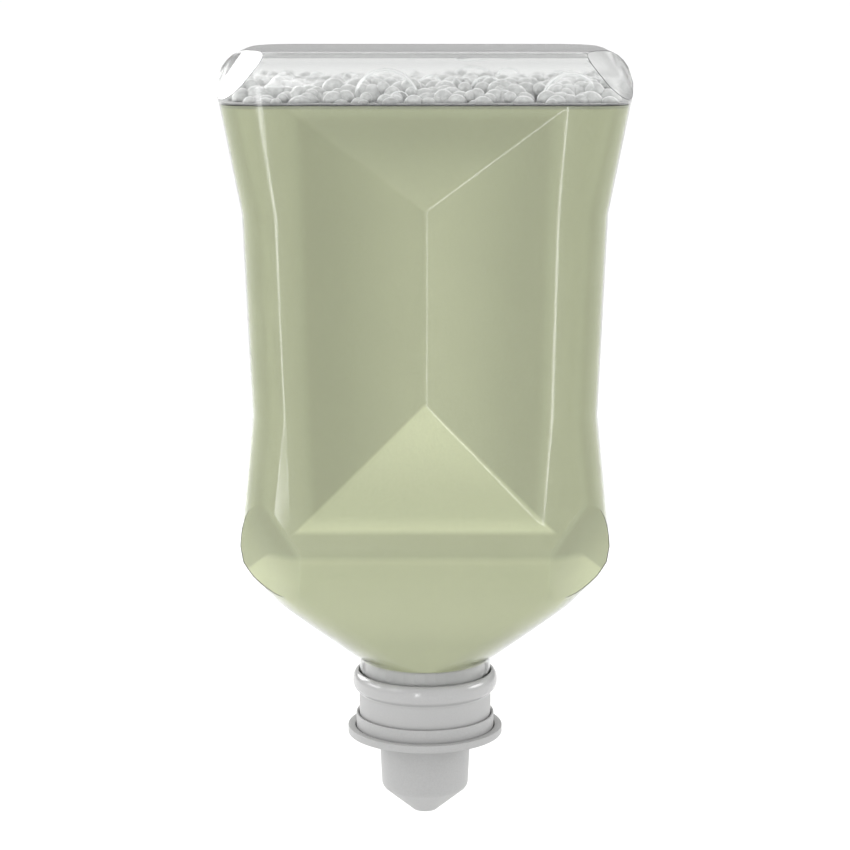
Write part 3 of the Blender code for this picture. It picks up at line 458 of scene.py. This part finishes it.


# Soap
# Pale grey-green foam soap, a cloudy liquid that fills the bottle up to its level line. Its
# colour holds painted light: lighter where the fold panel leaves less of it between front and
# back, on the flat frames and on the low flats that turn to the light. It holds painted shade
# too: a dark line under the level, and a darker yellow-green where its sides turn from view.

SOAP_DEPTH = 0.0004          # behind the bottle's outer face
SOAP_FOOT = 0.0043           # on the pump's top plate
SOAP_LEVEL = 0.184
# Painted shade: a dark line in the soap's colour just under its level, its width and colour
LEVEL_SHADE_WIDTH = 0.0013            # dark line under the level
SOAP_COLOUR = (0.330, 0.350, 0.222)
# Painted light: the lighter soap, mixed in towards the crease and on the flat frames
PAINTED_LIGHT_COLOUR = (0.440, 0.464, 0.300)
LEVEL_SHADE_COLOUR = (0.27, 0.285, 0.20)
# Painted shade where the soap's sides turn from view
GRAZING_SHADE_COLOUR = (0.30, 0.34, 0.15)
# Painted light on the soap's low flats: the slope of the lines that bound it, and its bands
LOW_SPREAD = 0.94            # slope of the edges that run down from the crease's foot
LOW_LIGHT_BANDS = [                # height, and how much lighter the soap looks there
    (0.0150, 0.0), (0.0260, 0.20), (0.0370, 0.38), (0.0440, 0.38), (0.0465, 0.0), (0.0530, 0.0),
    (0.0545, 0.42), (0.0920, 0.42)]

soap = copy_piece(blank, "soap_body")
bpy.ops.object.mode_set(mode="EDIT")
bpy.ops.mesh.select_all(action="SELECT")
bpy.ops.transform.shrink_fatten(value=-SOAP_DEPTH)
bpy.ops.mesh.select_all(action="SELECT")
bpy.ops.mesh.bisect(plane_co=(0, 0, SOAP_LEVEL), plane_no=(0, 0, 1), use_fill=True, clear_outer=True)
bpy.ops.mesh.select_all(action="SELECT")
bpy.ops.mesh.bisect(plane_co=(0, 0, SOAP_FOOT), plane_no=(0, 0, 1), use_fill=True, clear_inner=True)
bpy.ops.object.mode_set(mode="OBJECT")
smooth(soap)

soap_green, tree, shader, tint = start_material(
    "soap_green", SOAP_COLOUR, 0.45, grain=2000.0, depth=0.04, unevenness=0.05, speckle=0.30)
shader.inputs["Specular IOR Level"].default_value = 0.25
place = add_node(tree, "ShaderNodeTexCoord")
split = add_node(tree, "ShaderNodeSeparateXYZ")
distance = add_node(tree, "ShaderNodeMath", operation="ABSOLUTE")
# Painted light: the soap's colour is made lighter towards the crease, where the fold panel leaves less soap
# for light to cross, and on the flat frames front and back.
through_light = add_node(tree, "ShaderNodeMapRange", interpolation_type="SMOOTHSTEP", inputs={
    "From Min": FRONT_HALF_DEPTH - 0.0025, "From Max": FRONT_HALF_DEPTH - PANEL_DEPTH})
frame_light = add_node(tree, "ShaderNodeMapRange", interpolation_type="SMOOTHSTEP", inputs={
    "From Min": FRONT_HALF_DEPTH - 0.0022, "From Max": FRONT_HALF_DEPTH - 0.0008, "To Max": 0.45})
either = add_node(tree, "ShaderNodeMath", operation="ADD", use_clamp=True)
painted_light_mix = add_node(tree, "ShaderNodeMix", data_type="RGBA")
painted_light_mix.inputs[6].default_value = (*SOAP_COLOUR, 1.0)
painted_light_mix.inputs[7].default_value = (*PAINTED_LIGHT_COLOUR, 1.0)
# Painted shade: the soap's colour darkens in a thin line just under its level.
line = add_node(tree, "ShaderNodeMapRange", interpolation_type="SMOOTHSTEP", inputs={
    "From Min": SOAP_LEVEL - LEVEL_SHADE_WIDTH, "From Max": SOAP_LEVEL - LEVEL_SHADE_WIDTH / 3})
edge = add_node(tree, "ShaderNodeMix", data_type="RGBA")
edge.inputs[7].default_value = (*LEVEL_SHADE_COLOUR, 1.0)
tree.links.new(place.outputs["Object"], split.inputs["Vector"])
tree.links.new(split.outputs["Y"], distance.inputs[0])
tree.links.new(distance.outputs["Value"], through_light.inputs["Value"])
tree.links.new(distance.outputs["Value"], frame_light.inputs["Value"])
tree.links.new(through_light.outputs["Result"], either.inputs[0])
tree.links.new(frame_light.outputs["Result"], either.inputs[1])
tree.links.new(either.outputs["Value"], painted_light_mix.inputs["Factor"])
tree.links.new(split.outputs["Z"], line.inputs["Value"])
tree.links.new(line.outputs["Result"], edge.inputs["Factor"])
# Painted shade: where the soap's surface turns away from view, its colour goes darker and more yellow.
grazing = add_node(tree, "ShaderNodeLayerWeight", inputs={"Blend": 0.5})
outer = add_node(tree, "ShaderNodeMapRange", interpolation_type="SMOOTHSTEP", inputs={
    "From Min": 0.72, "From Max": 0.96})
side = add_node(tree, "ShaderNodeMix", data_type="RGBA")
side.inputs[7].default_value = (*GRAZING_SHADE_COLOUR, 1.0)
tree.links.new(grazing.outputs["Facing"], outer.inputs["Value"])
tree.links.new(outer.outputs["Result"], side.inputs["Factor"])
tree.links.new(painted_light_mix.outputs[2], side.inputs[6])
tree.links.new(side.outputs[2], edge.inputs[6])
tree.links.new(edge.outputs[2], tint.inputs[6])
# Painted light: below the edges that run down from the crease's foot, the soap is made lighter in bands by
# height, on the shoulder and on the panel's lower slope, which turn to the light.
aside = add_node(tree, "ShaderNodeMath", operation="ABSOLUTE")
reach = add_node(tree, "ShaderNodeMath", operation="MULTIPLY_ADD", inputs={1: LOW_SPREAD})
below = add_node(tree, "ShaderNodeMapRange", interpolation_type="SMOOTHSTEP", inputs={
    "From Min": CREASE_FOOT + 0.0008, "From Max": CREASE_FOOT - 0.0008})
height = add_node(tree, "ShaderNodeMapRange", inputs={"From Max": 0.1})
bands = add_node(tree, "ShaderNodeValToRGB")
ramp = bands.color_ramp
ramp.elements[0].position = LOW_LIGHT_BANDS[0][0] * 10
ramp.elements[1].position = LOW_LIGHT_BANDS[-1][0] * 10
for z, gain in LOW_LIGHT_BANDS[1:-1]:
    ramp.elements.new(z * 10)
for element, (z, gain) in zip(ramp.elements, LOW_LIGHT_BANDS):
    element.color = (gain, gain, gain, 1.0)
lighter = add_node(tree, "ShaderNodeMath", operation="MULTIPLY_ADD", inputs={2: 1.0})
toned = add_node(tree, "ShaderNodeMath", operation="MULTIPLY")
tree.links.new(split.outputs["X"], aside.inputs[0])
tree.links.new(aside.outputs["Value"], reach.inputs[0])
tree.links.new(split.outputs["Z"], reach.inputs[2])
tree.links.new(reach.outputs["Value"], below.inputs["Value"])
tree.links.new(split.outputs["Z"], height.inputs["Value"])
tree.links.new(height.outputs["Result"], bands.inputs["Fac"])
tree.links.new(below.outputs["Result"], lighter.inputs[0])
tree.links.new(bands.outputs["Color"], lighter.inputs[1])
tree.links.new(tint.inputs[7].links[0].from_socket, toned.inputs[0])
tree.links.new(lighter.outputs["Value"], toned.inputs[1])
tree.links.new(toned.outputs["Value"], tint.inputs[7])
soap.data.materials.append(soap_green)
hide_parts("soap_fill")
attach(soap, "pack")


# Foam
# A raft of froth left on the soap by filling. Its small bubbles are full of finer ones and look
# grey, with painted highlights on their rims where they turn from view, and painted shade where
# they meet the soap. A few large domes are clear, and only their rims show.

FOAM_FOOT = SOAP_LEVEL + 0.0003
BED_TOP = SOAP_LEVEL + 0.0008
FROTH_COUNT = 450
FROTH_RADII = (0.0018, 0.0052)
FROTH_TOPS = (0.0019, 0.0066, 0.0009)        # at the wall, further in, and give or take
FROTH_STEP = 0.0110                          # distance over which it rises
CLEAR_COUNT = 16
CLEAR_RADII = (0.0030, 0.0055)
LARGE_DOMES = [(-0.0118, -0.0262, 0.0104), (0.0440, -0.0262, 0.0092), (0.0150, 0.0250, 0.0090)]
FOAM_SEED = 7
FROTH_GREY = (0.50, 0.505, 0.50)
# Painted highlight on the froth's rims
FROTH_RIM_HIGHLIGHT = (0.84, 0.84, 0.84)
# Painted shade where the froth meets the soap
FOOT_SHADE = 0.42                # how dark the froth is where it meets the soap


def fits(x, y, z, radius):
    """Whether a bubble lies inside the bottle's wall and clear of its corner facets."""
    margin = radius + 2 * SKIN
    direction, corner, depth = TOP_FACET
    normal = Vector(direction).normalized()
    reach = (Vector((abs(x), abs(y), z)) - Vector(corner)).dot(normal)
    return (abs(x) < FLARE_HALF_WIDTH - 0.0012 - margin and abs(y) < BASE_HALF_DEPTH - margin
            and reach < -depth - margin)


def scatter(chance, count, radii):
    """Places and radii of bubbles that rise from the wall towards the middle."""
    bubbles = []
    while len(bubbles) < count:
        radius = radii[0] + (radii[1] - radii[0]) * chance.random() ** 1.2
        inward = (BASE_HALF_DEPTH - radius) * chance.random() ** 1.3
        x = chance.uniform(-FLARE_HALF_WIDTH, FLARE_HALF_WIDTH)
        y = math.copysign(BASE_HALF_DEPTH - 0.0007 - radius - inward, chance.random() - 0.62)
        top = FROTH_TOPS[0] + (FROTH_TOPS[1] - FROTH_TOPS[0]) * min(1.0, inward / FROTH_STEP)
        z = FOAM_FOOT + top + FROTH_TOPS[2] * chance.uniform(-1, 1) - radius
        if fits(x, y, max(z, FOAM_FOOT), radius):
            bubbles.append((x, y, z, radius))
    return bubbles


def blow(piece, bubbles, steps=3, filled=True):
    """Join balls to a piece and cut it off flat at the foam's foot, closed there or open."""
    balls = []
    for x, y, z, radius in bubbles:
        bpy.ops.mesh.primitive_ico_sphere_add(subdivisions=steps, radius=radius, location=(x, y, z))
        balls.append(bpy.context.object)
    deselect_all()
    for ball in [piece, *balls]:
        ball.select_set(True)
    bpy.context.view_layer.objects.active = piece
    bpy.ops.object.join()
    bpy.ops.object.mode_set(mode="EDIT")
    bpy.ops.mesh.select_all(action="SELECT")
    bpy.ops.mesh.bisect(plane_co=(0, 0, FOAM_FOOT), plane_no=(0, 0, 1), use_fill=filled, clear_inner=True)
    bpy.ops.object.mode_set(mode="OBJECT")
    smooth(piece, math.radians(60))


chance = random.Random(FOAM_SEED)
foam = copy_piece(blank, "foam_bed")
bpy.ops.object.mode_set(mode="EDIT")
bpy.ops.mesh.select_all(action="SELECT")
bpy.ops.transform.shrink_fatten(value=-SOAP_DEPTH)
bpy.ops.mesh.select_all(action="SELECT")
bpy.ops.mesh.bisect(plane_co=(0, 0, BED_TOP), plane_no=(0, 0, 1), use_fill=True, clear_outer=True)
bpy.ops.object.mode_set(mode="OBJECT")
blow(foam, scatter(chance, FROTH_COUNT, FROTH_RADII))

deselect_all()
bpy.ops.mesh.primitive_ico_sphere_add(subdivisions=4, radius=LARGE_DOMES[0][2], location=(0, 0, 0))
domes = name_piece("foam_domes")
bpy.ops.object.mode_set(mode="EDIT")
bpy.ops.mesh.select_all(action="SELECT")
bpy.ops.transform.translate(value=(*LARGE_DOMES[0][:2], FOAM_FOOT))
bpy.ops.object.mode_set(mode="OBJECT")
blow(domes, [(x, y, FOAM_FOOT, radius) for x, y, radius in LARGE_DOMES[1:]], steps=4, filled=False)
clear_bubbles = scatter(chance, CLEAR_COUNT, CLEAR_RADII)
blow(domes, [(x, y, z + 0.0016, radius) for x, y, z, radius in clear_bubbles], filled=False)

foam_white, tree, shader, tint = start_material(
    "foam_white", FROTH_GREY, 0.4, grain=1500.0, depth=0.4, unevenness=0.0)
place = add_node(tree, "ShaderNodeTexCoord")
mottle = add_node(tree, "ShaderNodeTexNoise", inputs={"Scale": 620.0, "Detail": 3.0, "Roughness": 0.65})
tones = add_node(tree, "ShaderNodeMapRange", inputs={
    "From Min": 0.35, "From Max": 0.65, "To Min": 0.84, "To Max": 1.12})
# Painted highlight: the froth's colour goes pale where its surface turns from view.
rim = add_node(tree, "ShaderNodeLayerWeight", inputs={"Blend": 0.5})
pale = add_node(tree, "ShaderNodeMapRange", interpolation_type="SMOOTHSTEP", inputs={
    "From Min": 0.50, "From Max": 0.80, "To Min": 0.0, "To Max": 0.85})
rim_highlighted = add_node(tree, "ShaderNodeMix", data_type="RGBA")
rim_highlighted.inputs[6].default_value = (*FROTH_GREY, 1.0)
rim_highlighted.inputs[7].default_value = (*FROTH_RIM_HIGHLIGHT, 1.0)
tree.links.new(place.outputs["Object"], mottle.inputs["Vector"])
tree.links.new(mottle.outputs["Fac"], tones.inputs["Value"])
apart = add_node(tree, "ShaderNodeSeparateXYZ")
# Painted shade: the froth's colour darkens towards its foot on the soap.
foot = add_node(tree, "ShaderNodeMapRange", inputs={
    "From Min": BED_TOP - 0.0002, "From Max": BED_TOP + 0.0010, "To Min": FOOT_SHADE, "To Max": 1.0})
foot_shaded = add_node(tree, "ShaderNodeMath", operation="MULTIPLY")
tree.links.new(place.outputs["Object"], apart.inputs["Vector"])
tree.links.new(apart.outputs["Z"], foot.inputs["Value"])
tree.links.new(foot.outputs["Result"], foot_shaded.inputs[0])
tree.links.new(tones.outputs["Result"], foot_shaded.inputs[1])
tree.links.new(foot_shaded.outputs["Value"], tint.inputs[7])
tree.links.new(rim.outputs["Facing"], pale.inputs["Value"])
tree.links.new(pale.outputs["Result"], rim_highlighted.inputs["Factor"])
tree.links.new(rim_highlighted.outputs[2], tint.inputs[6])
shader.inputs["Subsurface Weight"].default_value = 0.5
shader.inputs["Subsurface Radius"].default_value = (1.0, 1.0, 1.0)
shader.inputs["Subsurface Scale"].default_value = 0.0010
foam.data.materials.append(foam_white)
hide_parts("foam_layer")
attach(foam, "pack")

bubble_film, tree, shader, tint = start_material(
    "bubble_film", (0.90, 0.91, 0.91), 0.10, grain=300.0, depth=0.05, unevenness=0.0)
rim = add_node(tree, "ShaderNodeLayerWeight", inputs={"Blend": 0.5})
opacity = add_node(tree, "ShaderNodeMapRange", interpolation_type="SMOOTHSTEP", inputs={
    "From Min": 0.50, "From Max": 0.74, "To Min": 0.06, "To Max": 0.85})
tree.links.new(rim.outputs["Facing"], opacity.inputs["Value"])
tree.links.new(opacity.outputs["Result"], shader.inputs["Alpha"])
domes.data.materials.append(bubble_film)
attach(domes, "pack")


# Collar
# White moulded ring that is snapped over the neck's lip: a glossy hollow bead, which the
# dispenser holds, and a matte skirt round the pump's cylinder.

TURN_STEPS = 112
CORNER_ROUND = 0.00022
SKIRT_RADIUS = 0.0214
SKIRT_FOOT = -0.0152
SKIRT_BORE = 0.0201
BEAD_OUT = 0.0021
BEAD_MIDDLE = -0.0033
BEAD_HOLLOW = 0.0223
BEAD_LEDGE = -0.0052
WHITE = (0.36, 0.36, 0.358)


def arc(centre, radius, start, end, steps):
    """Points of an arc in the outline's plane, in degrees from the radius axis."""
    angles = [math.radians(start + (end - start) * step / steps) for step in range(steps + 1)]
    return [(centre[0] + radius * math.cos(a), centre[1] + radius * math.sin(a)) for a in angles]


def turned(name, outline, closed=True, round_corners=CORNER_ROUND, steps=TURN_STEPS):
    """Draw an outline of (radius, height) points, round its corners and spin it about Z."""
    deselect_all()
    bpy.ops.mesh.primitive_plane_add(size=0.001, location=(0, 0, 0))
    piece = name_piece(name)
    bpy.ops.object.mode_set(mode="EDIT")
    select_parts("verts", lambda v: v.index > 0)
    bpy.ops.mesh.delete(type="VERT")
    bpy.ops.mesh.select_all(action="SELECT")
    start = Vector((outline[0][0], 0.0, outline[0][1]))
    bpy.ops.transform.translate(value=start - bmesh.from_edit_mesh(piece.data).verts[:][0].co)
    for (radius, z), (next_radius, next_z) in zip(outline, outline[1:]):
        bpy.ops.mesh.extrude_region_move(TRANSFORM_OT_translate={
            "value": (next_radius - radius, 0, next_z - z)})
    if closed:
        select_parts("verts", lambda v: len(v.link_edges) == 1)
        bpy.ops.mesh.edge_face_add()
    if round_corners:
        select_parts("verts", lambda v: v.co.x > NEAR and len(v.link_edges) == 2
                     and bend_at(v) > math.radians(28))
        bpy.ops.mesh.bevel(offset=round_corners, segments=3, affect="VERTICES")
    bpy.ops.mesh.select_all(action="SELECT")
    bpy.ops.mesh.spin(steps=steps, angle=math.tau, center=(0, 0, 0), axis=(0, 0, 1))
    bpy.ops.mesh.select_all(action="SELECT")
    bpy.ops.mesh.remove_doubles(threshold=0.000005)
    bpy.ops.mesh.normals_make_consistent(inside=False)
    bpy.ops.object.mode_set(mode="OBJECT")
    smooth(piece, math.radians(35))
    return piece


def bend_at(vert):
    """How far the outline turns at a point."""
    first, second = [(edge.other_vert(vert).co - vert.co) for edge in vert.link_edges]
    return math.pi - first.angle(second)


outline = []
for step in range(15):
    angle = math.radians(12 + 128 * step / 14)
    outline.append((SKIRT_RADIUS + BEAD_OUT * math.sin(angle), BEAD_MIDDLE * (1 - math.cos(angle))))
blend_start, blend_end, bend = outline[-1], (SKIRT_RADIUS, -0.0082), (SKIRT_RADIUS, -0.0066)
for step in range(1, 7):
    t = step / 6
    shares = ((1 - t) ** 2, 2 * t * (1 - t), t ** 2)
    outline.append(tuple(sum(s * p[axis] for s, p in zip(shares, (blend_start, bend, blend_end)))
                         for axis in (0, 1)))
outline += [(SKIRT_RADIUS, SKIRT_FOOT), (SKIRT_BORE, SKIRT_FOOT), (SKIRT_BORE, BEAD_LEDGE)]
outline += [(BEAD_HOLLOW, BEAD_LEDGE), (BEAD_HOLLOW, -0.0012), (0.0215, -0.0012), (0.0215, outline[0][1])]
collar = turned("collar_ring", outline)

collar_white, tree, shader, tint = start_material(
    "collar_white", WHITE, 0.4, grain=2200.0, depth=0.08, speckle=0.15)
place = add_node(tree, "ShaderNodeTexCoord")
split = add_node(tree, "ShaderNodeSeparateXYZ")
matte = add_node(tree, "ShaderNodeMapRange", interpolation_type="SMOOTHSTEP", inputs={
    "From Min": -0.0064, "From Max": -0.0074, "To Min": 0.17, "To Max": 0.52})
tree.links.new(place.outputs["Object"], split.inputs["Vector"])
tree.links.new(split.outputs["Z"], matte.inputs["Value"])
tree.links.new(matte.outputs["Result"], shader.inputs["Roughness"])
shader.inputs["Specular IOR Level"].default_value = 0.9
collar.data.materials.append(collar_white)
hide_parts("collar")
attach(collar, "pack")


# Drive flange
# White moulded disc under the collar. A dispenser's fork grips its rim to work the pump, and
# the guide ring stands in the shallow cup inside the rim.

RIM_TOP = -0.0186
RIM_FOOT = -0.0210
FLOOR_TOP = -0.0205
FLOOR_FOOT = -0.0217
RIM_RADIUS = 0.0251
RIM_BORE = 0.0227
RECESS_RADIUS = 0.0152
RECESS = -0.0213
BOSS_BORE = 0.0081
BOSS_RADIUS = 0.0094
BOSS_TOP = -0.0166

flange = turned("flange_disc", [
    (RIM_RADIUS, RIM_TOP), (RIM_RADIUS, RIM_FOOT), (RIM_BORE, RIM_FOOT), (0.0220, FLOOR_FOOT),
    (RECESS_RADIUS, FLOOR_FOOT), (RECESS_RADIUS, RECESS), (BOSS_BORE, RECESS), (BOSS_BORE, BOSS_TOP),
    (BOSS_RADIUS, BOSS_TOP), (BOSS_RADIUS, FLOOR_TOP), (RIM_BORE, FLOOR_TOP), (RIM_BORE, RIM_TOP)])
white_plastic, tree, shader, tint = start_material(
    "white_plastic", WHITE, 0.42, grain=1800.0, depth=0.12, speckle=0.20)
flange.data.materials.append(white_plastic)
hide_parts("drive_flange")
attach(flange, "actuator")


# Guide ring
# Thin white ring that stands in the flange's cup and slides over the collar's skirt.

ring = turned("guide_ring_wall", [
    (0.0224, -0.0144), (0.0224, -0.0202), (0.0217, -0.0202), (0.0217, -0.0144)], round_corners=0.00012)
ring.data.materials.append(white_plastic)
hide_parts("guide_ring")
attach(ring, "actuator")


# Nozzle
# White moulded spout round the foam maker's screens. The dust cap hides it until the pack is
# put to use.

NOZZLE_TOP = -0.0216
nozzle = turned("nozzle_spout", [
    (0.0133, NOZZLE_TOP), (0.0133, NOZZLE_TOP - 0.0016), (0.0092, NOZZLE_TOP - 0.0016), (0.0092, -0.0369),
    (0.0060, -0.0420), (0.0045, -0.0420), (0.0066, -0.0369), (0.0081, -0.0369), (0.0081, NOZZLE_TOP)])
nozzle.data.materials.append(white_plastic)
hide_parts("nozzle")
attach(nozzle, "actuator")


# Dust cap
# Thin white cap, a slightly tapered cup with a blunt conical nose. It grips the nozzle's base
# and is pulled off when the pack is fitted.

CAP_TOP = -0.0216
CAP_TIP = -0.0477
CAP_RADIUS = 0.0148
CAP_WALL = 0.0012
CAP_SHOULDER = 0.0141        # radius
CAP_SHOULDER_HEIGHT = CAP_TIP + 0.0085
CAP_SOFT = 0.0030

outline = [(CAP_RADIUS, CAP_TOP), (CAP_RADIUS, CAP_TOP - 0.0022)]
outline += arc((CAP_SHOULDER - CAP_SOFT, CAP_SHOULDER_HEIGHT + CAP_SOFT / 2), CAP_SOFT, 0, -45, 7)
outline += arc((0.0034, CAP_TIP + 0.0012), 0.0012, -35, -90, 5)
outline += [(0.0, CAP_TIP), (0.0, CAP_TIP + CAP_WALL), (0.0034, CAP_TIP + CAP_WALL)]
outline += arc((CAP_SHOULDER - CAP_SOFT, CAP_SHOULDER_HEIGHT + CAP_SOFT / 2), CAP_SOFT - CAP_WALL, -45, 0, 7)
outline += [(CAP_RADIUS - CAP_WALL, CAP_TOP - 0.0022), (CAP_RADIUS - CAP_WALL, CAP_TOP)]
cap = turned("dust_cap_cup", outline)
cap.data.materials.append(white_plastic)
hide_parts("dust_cap")
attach(cap, "cap")


# Inner pump pieces
# Unpigmented pump body, piston, stem, insert and sleeve, soft rubber seals and valves, and
# fine mesh screens. Only the pump body's top shows, through the clear neck.

natural_plastic, tree, shader, tint = start_material("natural_plastic", (0.40, 0.40, 0.395), 0.38)
soft_seal, tree, shader, tint = start_material("soft_seal", (0.55, 0.56, 0.57), 0.6, grain=1500.0, depth=0.2)
screen_mesh, tree, shader, tint = start_material("screen_mesh", (0.80, 0.80, 0.78), 0.5)
INNER = [
    (natural_plastic, ("pump_body", "piston_stem", "air_piston", "mixing_insert", "screen_sleeve")),
    (soft_seal, ("neck_gasket", "inlet_valve", "liquid_seal", "air_valve", "outlet_valve")),
    (screen_mesh, ("upper_screen", "lower_screen")),
]
for material, names in INNER:
    for name in names:
        nodes[name].data.materials.clear()
        nodes[name].data.materials.append(material)


# Floor
# Plain pale studio floor. The pack hangs over it, with room for the dust cap to be pulled off.

FLOOR_HEIGHT = CAP_TIP - 0.0310
FLOOR_SIZE = 60.0

deselect_all()
bpy.ops.mesh.primitive_plane_add(size=FLOOR_SIZE, location=(0, 0, 0))
floor = name_piece("floor")
bpy.ops.object.mode_set(mode="EDIT")
bpy.ops.mesh.select_all(action="SELECT")
bpy.ops.transform.translate(value=(0, 0, FLOOR_HEIGHT))
bpy.ops.object.mode_set(mode="OBJECT")
floor_paint, tree, shader, tint = start_material(
    "floor_paint", (0.93, 0.93, 0.93), 0.8, grain=40.0, depth=0.0)
floor.data.materials.append(floor_paint)

bpy.data.objects.remove(blank, do_unlink=True)
